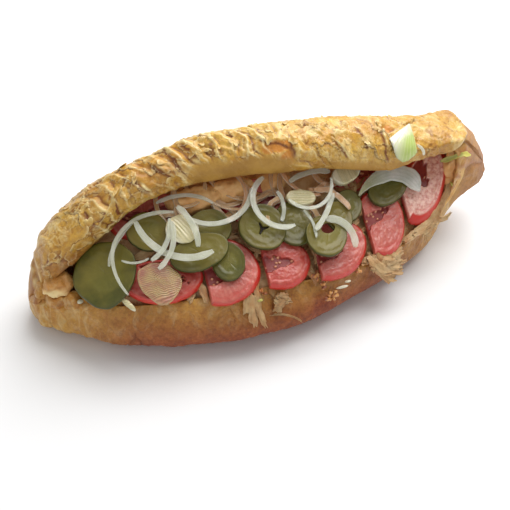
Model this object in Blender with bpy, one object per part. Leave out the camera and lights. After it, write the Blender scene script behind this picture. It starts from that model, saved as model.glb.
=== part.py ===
# A chicken doner sandwich: a half loaf slit along the front and hinged at the back, filled with
# shaved chicken, tomato, pickles and sliced onion. The loaf lies along X, its mouth faces -Y,
# and it rests on the flat of its crust at Z = 0. Sizes are in millimetres, turned to metres at
# the end of each shape by mm.
import math

import bmesh
import bpy
import numpy as np
from mathutils import Matrix, Vector

mm = 0.001

# The loaf's driving lines: (place along X, value) pairs
frontY = [(-165, 2), (-154, -7), (-125, -29), (-96, -42), (-65, -49), (-33, -53), (1, -50),
          (31, -41), (63, -29), (102, -8), (124, 10), (164, 26)]
backY = [(-165, 25), (-151, 35), (-111, 47), (-61, 51), (99, 51), (139, 50), (164, 44)]
floorZ = [(-165, 4), (-149, 0), (79, 0), (102, 2), (122, 12), (139, 23), (164, 31)]
bellyZ = [(-165, 15), (-150, 20), (-115, 23), (-60, 24), (-28, 23.5), (0, 20), (40, 17),
          (80, 15), (164, 15)]      # height of the front's widest place above the floor line
topZ = [(-165, 44), (-151, 59), (-135, 75.5), (-118, 90), (-101, 100.5), (-74, 111), (-46, 118),
        (-11, 119), (29, 114), (77, 102), (104, 94), (121, 92), (134, 86), (145, 76), (154, 67), (164, 57)]
lipY = [(-165, 0), (-148, -7), (-121, -23), (-91, -33), (-36, -38), (1, -39), (37, -34), (74, -22),
        (102, -8), (119, 2), (134, 12)]
lipZ = [(-165, 26), (-148, 30), (-126, 38), (-103, 40), (1, 40), (37, 36), (74, 32), (102, 34),
        (119, 42), (130, 54), (134, 64)]
rimY = [(-160, 9), (-148, 1), (-136, 0), (-116, 2), (-91, 7), (-61, 10), (-31, 8), (-1, 6), (49, 6),
        (89, 8), (129, 13), (140, 18)]
rimZ = [(-160, 34), (-153, 37), (-143, 47), (-129, 57), (-119, 65), (-107, 73), (-91, 84), (-61, 92),
        (-31, 94), (-1, 93), (44, 86), (61, 80), (79, 76), (95, 79), (116, 79), (126, 80), (134, 79),
        (140, 73)]

# Each section is an open C of outer controls, from the lower lip round the back to the flap's
# rim. Every control has its own reach along X, so that the two ends are rounded.
leftReach = [-164, -165, -166, -166, -166, -166, -166, -165, -163, -160, -157, -155, -154, -154, -154]
rightReach = [134, 149, 159, 165, 168, 169, 169, 169, 168, 164, 158, 151, 143, 141, 139]
wallThickness = [7, 9, 13, 12, 10, 10, 11, 11, 12, 14]
stationCount = 36
ringCount = 38
endRound = (12.0, 6.5)    # length over which the left and right tips close in
endKeep = 0.10            # how much of the section is left at each tip
endBlunt = (2.2, 2.6)     # how blunt each tip is
mouthEnds = ((0.012, 0.050), (0.90, 0.968))    # the crust closes over the mouth outside these
mouthBulge = 2.5          # how far it bulges out there

hollowEnds = (0.13, 0.87)  # between these the loaf is hollow, outside them the hollow closes up
hollowFade = 0.08
hollowMiddle = 0.55       # how far down the section the middle of the hollow lies
hollowClosed = 0.8        # the wall takes this much of the hollow where it closes up
fullWall = 45.0           # the wall is at its full thickness where it has this much room
flapUnder = 1.5           # how far the flap's underside lies above its rim
hollowCorner = 0.22       # how far from the back the hollow's top corner lies, as a share of its width

bedEnds = (0.13, 0.89)    # the chicken fills the hollow between these
bedStations = 25
bedGap = 1.5              # between the chicken and the loaf's inner wall
bedDepth = 5.6            # its top lies this far under the surface the slices are laid on
bedThinnest = 3.0
bedBelowRim = 4.0
bedRipple = 0.6           # height of the ripples on its top

fillingSlope = math.radians(28)
fillingRise = 2.0         # the filling starts this far above the lower lip
lipRadius = 16.0          # it bends over the lip with this radius
steepest = math.radians(55)

# Slices: name, (x, s, lift), (half length, half width, thickness), turn, (lift per x, lift per s).
# s runs up the filling from the lower lip, lift stands off it.
# A tomato slice also has the place along X where it is cut straight, and its seed hollow:
# (x, s), (half length, half width), turn.
tomatoes = [
    ("tomato_1", (-83, 56, -2.5), (25, 15, 5.0), 12, None, ((-90, 55), (8, 4), 10)),
    ("tomato_2", (-81, 12.5, 0.0), (24.8, 15, 5.6), 0, None, ((-69, 12), (6, 4.5), 0)),
    ("tomato_3", (-46, 13, 0.0), (26, 22.5, 5.8), 0, -55.8, ((-37, 13), (5, 8), 12)),
    ("tomato_4", (-9, 12, 0.0), (21.5, 17.2, 6.0), 0, -18.7, ((-7, 11), (6, 4.5), -10)),
    ("tomato_5", (28, 14, 0.0), (27, 20, 6.0), 0, 15.5, ((24, 10), (6, 4), 10)),
    ("tomato_6", (67, 20, 0.0), (20.5, 24, 6.0), 6, 56, ((69, 21), (4, 9), 20)),
    ("tomato_7", (106, 23.5, 0.0), (21.5, 23.5, 6.0), -15, 88.2, ((107, 29), (6, 9), 10)),
    ("tomato_8", (60, 57, -1.0), (19, 10.5, 5.0), 0, None, ((60, 57), (7, 3), 0)),
    ("tomato_9", (-15, 56, -1.0), (22, 15, 5.0), 0, None, ((-15, 55), (8, 4), 0)),
]
hollowDepth = 2.4
pickles = [
    ("pickle_1", (-113.5, 18, 6.0), (16, 22.5, 3.2), -34, (0.12, -0.16)),
    ("pickle_2", (-84, 43, 6.5), (13, 13, 3.3), 0, (0, 0)),
    ("pickle_3", (-57, 24, 10.2), (18.5, 11.5, 3.2), 12, (0, 0)),
    ("pickle_4", (-40.2, 14.2, 6.7), (9.4, 11, 3.2), -8, (0, 0)),
    ("pickle_5", (-15, 34, 10.2), (15, 15, 3.2), 0, (0, 0)),
    ("pickle_6", (6, 34, 6.5), (13, 15, 3.2), 0, (0, 0)),
    ("pickle_7", (23, 20, 13.6), (14, 13.5, 3.2), 0, (0, 0)),
    ("pickle_8", (45, 37, 6.5), (11, 11, 3.2), 0, (0, 0)),
    ("pickle_9", (36, 31, 10.1), (9, 11, 3.1), 20, (0, 0)),
    ("pickle_10", (79.5, 38.5, 6.5), (17.5, 12.5, 3.2), 0, (0, 0)),
    ("pickle_11", (-47, 39, 6.5), (14, 12.5, 3.2), 0, (0, 0)),
]

# Onion strips: name, (centre x, centre s, radius), (start, end) in degrees, lift, width
strips = [
    ("onion_strip_1", (-76, 19, 33), (74, 212), 15.2, 3.6),
    ("onion_strip_2", (-56, 3, 58), (128, 163), 13.6, 2.8),
    ("onion_strip_3", (-96, 38, 16), (-118, -58), 13.0, 1.8),
    ("onion_strip_4", (-60, 51, 31), (187, 290), 16.8, 5.4),
    ("onion_strip_5", (-100, 47, 29), (-2, -63), 18.6, 3.6),
    ("onion_strip_6", (-101, 41, 31), (4, -57), 20.4, 3.6),
    ("onion_strip_7", (-86, 33, 29), (43, -15), 18.6, 4.4),
    ("onion_strip_8", (-42, 65, 26), (226, 346), 15.2, 4.0),
    ("onion_strip_9", (-63, 31, 31), (114, 46), 12.0, 2.8),
    ("onion_strip_10", (0, 48, 18), (115, 283), 17.0, 4.2),
    ("onion_strip_11", (-19, 47, 20), (24, -36), 14.0, 3.2),
    ("onion_strip_12", (-31, 84, 76), (-31, -52), 19.0, 4.4),
    ("onion_strip_13", (-6, 26, 22), (35, -16), 17.2, 2.2),
    ("onion_strip_14", (23, 13, 17), (84, -19), 17.2, 5.6),
    ("onion_strip_15", (18, 55, 17), (210, 358), 20.8, 3.0),
    ("onion_strip_16", (25, 30, 34), (118, 67), 13.0, 4.0),
]
stripThickness = 1.2
stripEnd = 0.55           # a strip's width at its ends, as a share of its middle
stripStep = 7.0           # length of one straight piece of a strip
ringHole = ((2.2, 4.6), (4.8, 3.4))     # hole in the pickle ring: off the ring's middle, half sizes
petal = ((72, 19.8, 27), (131, 3), 10.8, 10.0, 1.8)    # the wide onion layer over the last pickle
lettuce = [(116.5, 12.0, 68.5), (121, 10.0, 70.5), (126, 7.5, 73), (131, 6.5, 74), (135.5, 6.0, 73)]
lettuceSize = (3.2, 0.8)  # width and thickness
lettuceAcross = (0.2, 0.7, 0.7)
lettuceOut = (0.1, -0.7, 0.7)
crumb = ((-137.6, 7.5, 1.7), (5.6, 6.3, 4.8))        # toasted crumb at the left corner of the mouth
flapOnion = ((87, 25, 0.6), (11, 10.5, 2.2), -30)     # (x, distance up from the rim, lift), sizes, turn
rimStep = 8.0             # distance between the crust's controls near the rim

# Thicker cuts of onion: name, (x, s, lift), (half length, half width, thickness), turn, lift slopes
onions = [
    ("onion_cap", (-84, 9.5, 10.6), (13, 12.5, 1.6), 0, (-0.16, 0)),
    ("onion_chunk", (50, 57.5, 9.0), (11.5, 7, 5.5), 8, (0, 0)),
    ("onion_heart", (14, 48.5, 10.4), (10, 5.4, 4.5), -12, (0, 0)),
    ("onion_root", (-105, -1.2, 5.6), (4.8, 1.6, 2.4), -38, (0, 0)),
    ("onion_disc", (-64, 40, 13.7), (10, 9.5, 1.2), 0, (0, 0)),
]

# Chicken that hangs out over the lower lip: name, (x, s), (half length, half width), thickness.
# Slabs that bend are cut across every clumpStep or flapStep mm, along their length and width.
clumpStep = (12.0, 5.0)
flapStep = (8.0, 5.0)
clumpLift = 0.3
clumps = [
    ("chicken_clump_1", (-20, -14), (16, 7.5), 3.0),
    ("chicken_clump_2", (63, -11.5), (17, 6.2), 3.2),
    ("chicken_clump_3", (106, -5.5), (14, 4.0), 2.6),
]


def clearScene():
    for item in list(bpy.data.objects):
        bpy.data.objects.remove(item, do_unlink=True)


def makeMaterial(name, colour, roughness):
    material = bpy.data.materials.new(name)
    material.use_nodes = True
    shader = material.node_tree.nodes["Principled BSDF"]
    shader.inputs["Base Color"].default_value = (*colour, 1.0)
    shader.inputs["Roughness"].default_value = roughness
    shader.inputs["Metallic"].default_value = 0.0
    return material


def along(x, knots):
    # Smooth cubic through the (place, value) pairs
    place, value = np.array(knots, float).T
    step = np.diff(place)
    slope = np.diff(value) / step
    tangent = np.concatenate([slope[:1], (slope[:-1] * step[1:] + slope[1:] * step[:-1])
                              / (step[1:] + step[:-1]), slope[-1:]])
    x = np.clip(np.asarray(x, float), place[0], place[-1])
    i = np.clip(np.searchsorted(place, x, side="right") - 1, 0, len(place) - 2)
    t = (x - place[i]) / step[i]
    return ((1 + 2 * t) * (1 - t) ** 2 * value[i] + t * (1 - t) ** 2 * step[i] * tangent[i]
            + t * t * (3 - 2 * t) * value[i + 1] + t * t * (t - 1) * step[i] * tangent[i + 1])


def between(a, b, t):
    return a + (b - a) * t


def rise(start, end, x):
    # 0 before start, 1 after end, smooth between
    t = np.clip((np.asarray(x, float) - start) / (end - start), 0, 1)
    return t * t * (3 - 2 * t)


def loafControls(s):
    # Outer and inner controls of the sections at s, 0 at the left tip to 1 at the right tip
    s = np.asarray(s, float)
    left, right = np.array(leftReach, float), np.array(rightReach, float)
    x = left + (right - left) * s[:, None]
    front, back, floor, top = (along(x, line) for line in (frontY, backY, floorZ, topZ))
    lip, lipHeight, rim, rimHeight = (along(x, line) for line in (lipY, lipZ, rimY, rimZ))
    width, height = back - front, top - floor
    small = np.clip(width / 90, 0, 1)
    belly = along(x, bellyZ)
    outline = [
        (lip, lipHeight),
        (between(lip, front, 0.75), between(lipHeight, floor + belly * small, 0.45)),
        (front, floor + belly * small),
        (front + 0.15 * width, floor + (belly - 12.5) * small),
        (front + 0.38 * width, floor),
        (back - 0.30 * width, floor),
        (back - 0.08 * width, floor + 9 * small),
        (back, floor + 0.27 * height),
        (back, floor + 0.52 * height),
        (back - 0.06 * width, floor + 0.80 * height),
        (back - 0.26 * width, top - 1.5 * small),
        (between(back - 0.26 * width, rim, 0.55), top),
        (rim - small, between(top, rimHeight, 0.28)),
        (rim - 3 * small, between(top, rimHeight, 0.7)),
        (rim, rimHeight),
    ]
    outer = np.stack([np.stack([x[:, i], y[:, i], z[:, i]], -1) for i, (y, z) in enumerate(outline)], 1)
    # the tips close in on the middle of the section, along a blunted quarter circle
    length = rightReach[7] - leftReach[7]
    keep = 1
    for end, run in enumerate((s, 1 - s)):
        turn = 1 - np.clip(run * length / endRound[end], 0, 1)
        keep = np.minimum(keep, between(endKeep, 1, (1 - turn ** endBlunt[end]) ** (1 / endBlunt[end])))
    keep = keep[:, None, None]
    middle = outer[:, [2, 3, 7, 10]].mean(1)[:, None]
    outer = middle + (outer - middle) * keep
    # the inner side steps in from the outer one towards the middle of the hollow
    hollow = np.stack([x[:, 7], (outer[:, 2, 1] + outer[:, 7, 1]) / 2,
                       between(outer[:, 11, 2], outer[:, 4, 2], hollowMiddle)], -1)[:, None]
    inward = hollow - outer[:, :10]
    reach = np.linalg.norm(inward[..., 1:], axis=-1)
    step = np.minimum(np.array(wallThickness) * np.clip(reach / fullWall, 0.25, 1), 0.5 * reach)
    closed = np.clip((hollowEnds[0] - s) / hollowFade, 0, 1) + np.clip((s - hollowEnds[1]) / hollowFade, 0, 1)
    step = between(step, hollowClosed * reach, (closed * closed * (3 - 2 * closed))[:, None])
    inner = outer[:, :10] + inward * (step / reach)[..., None]
    inner[:, 9] = between(inner[:, 9], inner[:, 8], 0.35)
    underFlap = outer[:, 11].copy()
    underFlap[:, 2] = outer[:, 14, 2] + flapUnder * keep[:, 0, 0]
    corner = outer[:, 9].copy()
    corner[:, 1] = outer[:, 7, 1] - hollowCorner * (outer[:, 7, 1] - outer[:, 2, 1])
    corner[:, 2] = outer[:, 14, 2]
    inner = np.concatenate([underFlap[:, None], corner[:, None], inner[:, :0:-1]], 1)
    # where the mouth is shut they lie on the line from the rim to the lip, bulging out a little
    rim, lip = outer[:, 14:15], outer[:, :1]
    share = np.linspace(0, 1, inner.shape[1] + 2)[None, 1:-1, None]
    across = lip - rim
    out = np.stack([0 * across[..., 0], across[..., 2], -across[..., 1]], -1)
    out = out / np.maximum(np.linalg.norm(out, axis=-1, keepdims=True), 1e-6)
    front = between(rim, lip, share) + out * mouthBulge * keep * np.sin(math.pi * share)
    shut = 1 - rise(*mouthEnds[0], s) + rise(*mouthEnds[1], s)
    return np.concatenate([outer, between(inner, front, shut[:, None, None])], 1)


def loopThrough(controls, count):
    # Closed Catmull-Rom curve through each row of controls, count points each
    size = controls.shape[1]
    t = np.arange(count) / count * size
    i = t.astype(int)
    f = (t - i)[None, :, None]
    a, b, c, d = (controls[:, (i + k) % size] for k in (-1, 0, 1, 2))
    return 0.5 * (2 * b + (c - a) * f + (2 * a - 5 * b + 4 * c - d) * f ** 2
                  + (3 * b - a - 3 * c + d) * f ** 3)


def loft(rings):
    # Closed body over a row of rings; the two end rings become caps
    stations, count = rings.shape[:2]
    mesh = bmesh.new()
    grid = [[mesh.verts.new(Vector(point) * mm) for point in ring] for ring in rings]
    for k in range(stations - 1):
        for i in range(count):
            j = (i + 1) % count
            mesh.faces.new((grid[k][i], grid[k][j], grid[k + 1][j], grid[k + 1][i]))
    mesh.faces.new(list(reversed(grid[0])))
    mesh.faces.new(grid[-1])
    bmesh.ops.triangulate(mesh, faces=[face for face in mesh.faces if len(face.verts) > 4])
    return mesh


def onFilling(x, s, lift):
    # A point on the filling: s mm up the slope from the lower lip at x, lift mm off it.
    # Past the lip (s < 0) the slope bends down over the crust, until it is at its steepest.
    over = max(-s, 0)
    bend = min(fillingSlope + over / lipRadius, steepest)
    straight = max(over - (steepest - fillingSlope) * lipRadius, 0)
    up = max(s, 0)
    y = (along(x, lipY) + up * math.cos(fillingSlope) - straight * math.cos(steepest)
         - lipRadius * (math.sin(bend) - math.sin(fillingSlope)) - lift * math.sin(bend))
    z = (along(x, lipZ) + fillingRise + up * math.sin(fillingSlope) - straight * math.sin(steepest)
         - lipRadius * (math.cos(fillingSlope) - math.cos(bend)) + lift * math.cos(bend))
    return Vector((x, float(y), float(z)))


def addBody(name, mesh, material, collection):
    bmesh.ops.recalc_face_normals(mesh, faces=mesh.faces)
    if mesh.calc_volume(signed=True) < 0:
        bmesh.ops.reverse_faces(mesh, faces=mesh.faces)
    data = bpy.data.meshes.new(name)
    mesh.to_mesh(data)
    mesh.free()
    data.materials.append(material)
    data.shade_smooth()
    body = bpy.data.objects.new(name, data)
    collection.objects.link(body)
    return body


def cutAcross(mesh, axis, step):
    # Adds loops every step mm along one axis, so that a flat slab can bend
    values = [vert.co[axis] for vert in mesh.verts]
    normal = Vector((0, 0, 0))
    normal[axis] = 1
    place = (math.floor(min(values) / step) + 1) * step
    while place < max(values) - 0.2 * step:
        geometry = mesh.verts[:] + mesh.edges[:] + mesh.faces[:]
        bmesh.ops.bisect_plane(mesh, geom=geometry, plane_co=normal * place, plane_no=normal, dist=0.01)
        place += step


def onFlap(x, up, lift):
    # A point on the flap's crust: up mm from its rim at x, lift mm off the crust
    def crust(x, up):
        s = (x - leftReach[12]) / (rightReach[12] - leftReach[12])
        controls = loafControls([s])
        place = 14 - up / rimStep
        i = int(place)
        f = place - i
        a, b, c, d = (controls[0, i + k] for k in (-1, 0, 1, 2))
        return 0.5 * (2 * b + (c - a) * f + (2 * a - 5 * b + 4 * c - d) * f ** 2
                      + (3 * b - a - 3 * c + d) * f ** 3)
    here = crust(x, up)
    out = np.cross(crust(x + 1, up) - crust(x - 1, up), crust(x, up + 0.5) - crust(x, up - 0.5))
    return Vector(here + out / np.linalg.norm(out) * lift)


def hollowOut(mesh, cutter):
    # Cuts one closed mesh out of another and gives back the rest
    bodies = []
    for part in (mesh, cutter):
        data = bpy.data.meshes.new("cut")
        part.to_mesh(data)
        part.free()
        body = bpy.data.objects.new("cut", data)
        bpy.context.scene.collection.objects.link(body)
        bodies.append(body)
    cut = bodies[0].modifiers.new("hollow", "BOOLEAN")
    cut.operation = "DIFFERENCE"
    cut.object = bodies[1]
    whole = bodies[0].evaluated_get(bpy.context.evaluated_depsgraph_get())
    result = bmesh.new()
    result.from_mesh(whole.to_mesh())
    whole.to_mesh_clear()
    for body in bodies:
        bpy.data.objects.remove(body, do_unlink=True)
    return result


def lay(mesh, tilt=(0, 0), middle=(0, 0)):
    # Moves a flat mesh, drawn in (x, s, lift), onto the filling
    for vert in mesh.verts:
        x, s, lift = vert.co
        lift += tilt[0] * (x - middle[0]) + tilt[1] * (s - middle[1])
        vert.co = onFilling(x, s, lift) * mm


def roundSlab(centre, size, turn, segments, edge):
    # A slice: an elliptical cylinder with rounded edges, its underside at the given lift
    halfLength, halfWidth, thickness = size
    mesh = bmesh.new()
    bmesh.ops.create_cone(mesh, cap_ends=True, segments=segments, radius1=1, radius2=1, depth=thickness)
    scale = Matrix.Diagonal((halfLength, halfWidth, 1, 1))
    move = Matrix.Translation((centre[0], centre[1], centre[2] + thickness / 2))
    spin = Matrix.Rotation(math.radians(turn), 4, "Z")
    bmesh.ops.transform(mesh, verts=mesh.verts, matrix=move @ spin @ scale)
    rims = [item for item in mesh.edges if abs(item.verts[0].co.z - item.verts[1].co.z) < 0.01]
    bmesh.ops.bevel(mesh, geom=rims, offset=edge, segments=1, affect="EDGES", profile=0.5)
    return mesh


def makeLoaf(collection):
    t = np.linspace(0, 1, stationCount)
    s = between(t, 0.5 - 0.5 * np.cos(math.pi * t), 0.45)
    rings = loopThrough(loafControls(s), ringCount)
    rings[..., 2] = np.maximum(rings[..., 2], 0)
    crust = makeMaterial("baked_crust", (0.66, 0.42, 0.17), 0.45)
    addBody("bread", loft(rings), crust, collection)


def makeChickenBed(collection):
    # The shaved chicken between the loaf's inner wall and the slices laid on it
    s = np.linspace(*bedEnds, bedStations)
    controls = loafControls(s)
    inner = controls[:, 17:][:, ::-1]
    hollow = (inner[:, 1:2] + inner[:, 6:7]) / 2
    wall = inner[:, :8]
    inward = hollow - wall
    wall = wall + inward * (bedGap / np.linalg.norm(inward, axis=-1))[..., None]
    rings = []
    for k in range(len(s)):
        front, rear = wall[k, 0], wall[k, 7]
        crown = []
        for t in (0.86, 0.66, 0.45, 0.24, 0.06):
            x = between(front[0], rear[0], t)
            y = between(front[1], rear[1], t)
            climb = (y - along(x, lipY)) / math.cos(fillingSlope)
            top = onFilling(x, max(float(climb), 0.5), -bedDepth + bedRipple * math.sin(0.5 * x + 7 * t))
            ceiling = float(along(x, rimZ)) - bedBelowRim
            crown.append(Vector((x, y, max(min(top.z, ceiling), wall[k, :, 2].min() + bedThinnest))))
        rings.append([Vector(point) for point in wall[k]] + crown)
    rings = np.array([[tuple(point) for point in ring] for ring in rings])
    chicken = makeMaterial("shaved_chicken", (0.72, 0.52, 0.33), 0.55)
    addBody("chicken_bed", loft(rings), chicken, collection)


def makeTomatoes(collection):
    flesh = makeMaterial("tomato_flesh", (0.70, 0.12, 0.09), 0.25)
    for name, centre, size, turn, straight, seeds in tomatoes:
        mesh = roundSlab(centre, size, turn, 16, 0.9)
        if straight is not None:
            geometry = mesh.verts[:] + mesh.edges[:] + mesh.faces[:]
            edge = bmesh.ops.bisect_plane(mesh, geom=geometry, dist=0.01, plane_co=(straight, 0, 0),
                                          plane_no=(-1, 0, 0), clear_outer=True)["geom_cut"]
            bmesh.ops.holes_fill(mesh, edges=[item for item in edge if isinstance(item, bmesh.types.BMEdge)])
        (x, s), (halfLength, halfWidth), seedTurn = seeds
        pit = bmesh.new()
        bmesh.ops.create_uvsphere(pit, u_segments=8, v_segments=6, radius=1)
        place = Matrix.Translation((x, s, centre[2] + size[2]))
        stretch = Matrix.Diagonal((halfLength, halfWidth, hollowDepth, 1))
        bmesh.ops.transform(pit, verts=pit.verts,
                            matrix=place @ Matrix.Rotation(math.radians(seedTurn), 4, "Z") @ stretch)
        mesh = hollowOut(mesh, pit)
        cutAcross(mesh, 1, 9.0)
        lay(mesh)
        addBody(name, mesh, flesh, collection)


def makePickles(collection):
    skin = makeMaterial("pickled_cucumber", (0.33, 0.33, 0.08), 0.25)
    for name, centre, size, turn, tilt in pickles:
        mesh = roundSlab(centre, size, turn, 16, 0.6)
        if name == "pickle_7":
            hole = bmesh.new()
            bmesh.ops.create_cone(hole, cap_ends=True, segments=12, radius1=1, radius2=1, depth=3 * size[2])
            bmesh.ops.transform(hole, verts=hole.verts,
                                matrix=Matrix.Translation(centre) @ Matrix.Translation((*ringHole[0], 0))
                                @ Matrix.Diagonal((*ringHole[1], 1, 1)))
            mesh = hollowOut(mesh, hole)
        cutAcross(mesh, 1, 9.0)
        lay(mesh, tilt, centre)
        addBody(name, mesh, skin, collection)


def stripMesh(arc, angles, lift, width, thickness):
    # A strip cut from an onion ring: a thin bar swept along an arc, narrower at its ends
    x, s, radius = arc
    start, end = (math.radians(angle) for angle in angles)
    steps = max(5, int(abs(end - start) * radius / stripStep))
    rings = []
    for k in range(steps + 1):
        angle = between(start, end, k / steps)
        half = width / 2 * between(stripEnd, 1, math.sin(math.pi * min(k, steps - k, 2) / 4))
        ring = []
        for side, height in ((-1, 0), (1, 0), (1, 1), (-1, 1)):
            reach = radius + side * half
            ring.append(onFilling(x + reach * math.cos(angle), s + reach * math.sin(angle),
                                  lift + height * thickness))
        rings.append([tuple(point) for point in ring])
    return loft(np.array(rings))


def makeStrips(collection):
    onion = makeMaterial("onion_strip", (0.80, 0.78, 0.62), 0.2)
    for name, arc, angles, lift, width in strips:
        addBody(name, stripMesh(arc, angles, lift, width, stripThickness), onion, collection)
    for name, centre, size, turn, tilt in onions:
        mesh = roundSlab(centre, size, turn, 16, 0.3 * size[2])
        lay(mesh, tilt, centre)
        addBody(name, mesh, onion, collection)
    addBody("onion_layer", stripMesh(*petal), onion, collection)
    centre, size, turn = flapOnion
    mesh = roundSlab(centre, size, turn, 16, 0.5)
    cutAcross(mesh, 1, flapStep[1])
    cutAcross(mesh, 0, flapStep[0])
    for vert in mesh.verts:
        vert.co = onFlap(*vert.co) * mm
    addBody("onion_on_flap", mesh, onion, collection)


def makeScraps(collection):
    toasted = makeMaterial("toasted_crumb", (0.85, 0.55, 0.20), 0.5)
    mesh = roundSlab(*crumb, 0, 12, 1.6)
    lay(mesh)
    addBody("toasted_crumb", mesh, toasted, collection)
    leaf = makeMaterial("lettuce", (0.55, 0.58, 0.16), 0.4)
    width, thickness = lettuceSize
    across = Vector(lettuceAcross).normalized() * width / 2
    out = Vector(lettuceOut).normalized() * thickness / 2
    rings = [[tuple(Vector(point) + across * a + out * b) for a, b in ((-1, -1), (1, -1), (1, 1), (-1, 1))]
             for point in lettuce]
    addBody("lettuce_strip", loft(np.array(rings)), leaf, collection)


def makeClumps(collection):
    chicken = makeMaterial("chicken_clump", (0.74, 0.55, 0.36), 0.55)
    for name, place, size, thickness in clumps:
        mesh = roundSlab((*place, clumpLift), (*size, thickness), 0, 14, 0.7)
        cutAcross(mesh, 1, clumpStep[1])
        cutAcross(mesh, 0, clumpStep[0])
        lay(mesh)
        addBody(name, mesh, chicken, collection)


clearScene()
sandwich = bpy.data.collections.new("chicken_doner_sandwich")
bpy.context.scene.collection.children.link(sandwich)
makeLoaf(sandwich)
makeChickenBed(sandwich)
makeTomatoes(sandwich)
makePickles(sandwich)
makeStrips(sandwich)
makeClumps(sandwich)
makeScraps(sandwich)
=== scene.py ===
import math

import bpy
import numpy as np
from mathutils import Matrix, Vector


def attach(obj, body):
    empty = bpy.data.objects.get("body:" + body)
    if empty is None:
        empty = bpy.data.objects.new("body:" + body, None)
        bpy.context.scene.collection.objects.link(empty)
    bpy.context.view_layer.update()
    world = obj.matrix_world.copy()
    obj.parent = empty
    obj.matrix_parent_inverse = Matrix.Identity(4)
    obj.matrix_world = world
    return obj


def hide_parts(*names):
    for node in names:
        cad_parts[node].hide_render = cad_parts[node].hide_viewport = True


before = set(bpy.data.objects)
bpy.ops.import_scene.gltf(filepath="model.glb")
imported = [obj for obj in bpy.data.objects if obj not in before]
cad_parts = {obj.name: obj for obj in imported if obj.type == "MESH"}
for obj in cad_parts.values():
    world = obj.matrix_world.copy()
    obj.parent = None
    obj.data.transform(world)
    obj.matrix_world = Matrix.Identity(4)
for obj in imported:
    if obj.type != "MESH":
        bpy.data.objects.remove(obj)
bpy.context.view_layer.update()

mm = 0.001                # every shape below is worked out in millimetres


def along(x, knots):
    # Smooth cubic through the (place, value) pairs, with the slope at a knot shared by its two neighbours
    place, value = np.array(knots, float).T
    step = np.diff(place)
    slope = np.diff(value) / step
    tangent = np.concatenate([slope[:1], (slope[:-1] * step[1:] + slope[1:] * step[:-1])
                              / (step[1:] + step[:-1]), slope[-1:]])
    x = np.clip(np.asarray(x, float), place[0], place[-1])
    i = np.clip(np.searchsorted(place, x, side="right") - 1, 0, len(place) - 2)
    t = (x - place[i]) / step[i]
    return ((1 + 2 * t) * (1 - t) ** 2 * value[i] + t * (1 - t) ** 2 * step[i] * tangent[i]
            + t * t * (3 - 2 * t) * value[i + 1] + t * t * (t - 1) * step[i] * tangent[i + 1])


def between(a, b, t):
    # On the straight line from a, where t is 0, to b, where t is 1
    return a + (b - a) * t


def rise(start, end, x):
    # 0 before start, 1 after end, a smooth step from one to the other
    t = np.clip((np.asarray(x, float) - start) / (end - start), 0, 1)
    return t * t * (3 - 2 * t)


def fall(start, end, x):
    # The other way round: 1 before start, 0 after end
    return 1 - rise(start, end, x)


def turns(count, first=0):
    # Angles spaced evenly round a full turn
    return (np.arange(count) + first) / count * 2 * math.pi


def blunted(value, power):
    # The size raised to a power with its sign kept: squares off a cosine or a sine
    return np.sign(value) * np.abs(value) ** power


def flatSpot(x, s):
    # Points for a pattern that is the same at every height
    return np.stack([x, s, 0 * x], -1)


def scatter(i, j, k):
    # A repeatable random number from 0 to 1 for the whole numbers i, j, k
    h = (i * 374761393 + j * 668265263 + k * 974634777) & 0xffffffff
    h = ((h ^ (h >> 13)) * 1274126177) & 0xffffffff
    return ((h ^ (h >> 16)) & 0xffffff) / 0xffffff


def grain(points, size, seed=0):
    # Smooth noise from -1 to 1: random numbers on a lattice of that size, blended with a smooth step
    x, y, z = (points[..., i] / size for i in range(3))
    place = np.stack([0.8 * x + 0.6 * y, 0.8 * y - 0.6 * x + 0.3 * z, 0.95 * z - 0.2 * x], -1) + 100.5
    cell = np.floor(place).astype(np.int64)
    f = place - cell
    f = f * f * (3 - 2 * f)
    total = 0
    for corner in range(8):
        bits = np.array([corner & 1, corner >> 1 & 1, corner >> 2])
        weight = np.prod(np.where(bits == 1, f, 1 - f), -1)
        c = cell + bits
        total = total + weight * scatter(c[..., 0], c[..., 1], c[..., 2] + 57 * seed)
    return 2 * total - 1


def cells(u, v, seed):
    # The nearest and next nearest of one random point in each unit square: for both, the distance,
    # the offset in u and v, and three random numbers
    column, row = np.floor(u).astype(np.int64), np.floor(v).astype(np.int64)
    found = []
    for du in (-1, 0, 1):
        for dv in (-1, 0, 1):
            a, b = column + du, row + dv
            pu, pv = (q + 0.12 + 0.76 * scatter(a, b, seed + i) for i, q in enumerate((a, b)))
            found.append(np.stack([np.hypot(u - pu, v - pv), u - pu, v - pv]
                                  + [scatter(a, b, seed + i) for i in (2, 3, 4)]))
    found = np.stack(found)
    order = np.argsort(found[:, 0], axis=0)
    return (np.take_along_axis(found, order[k][None, None], 0)[0] for k in (0, 1))


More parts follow.
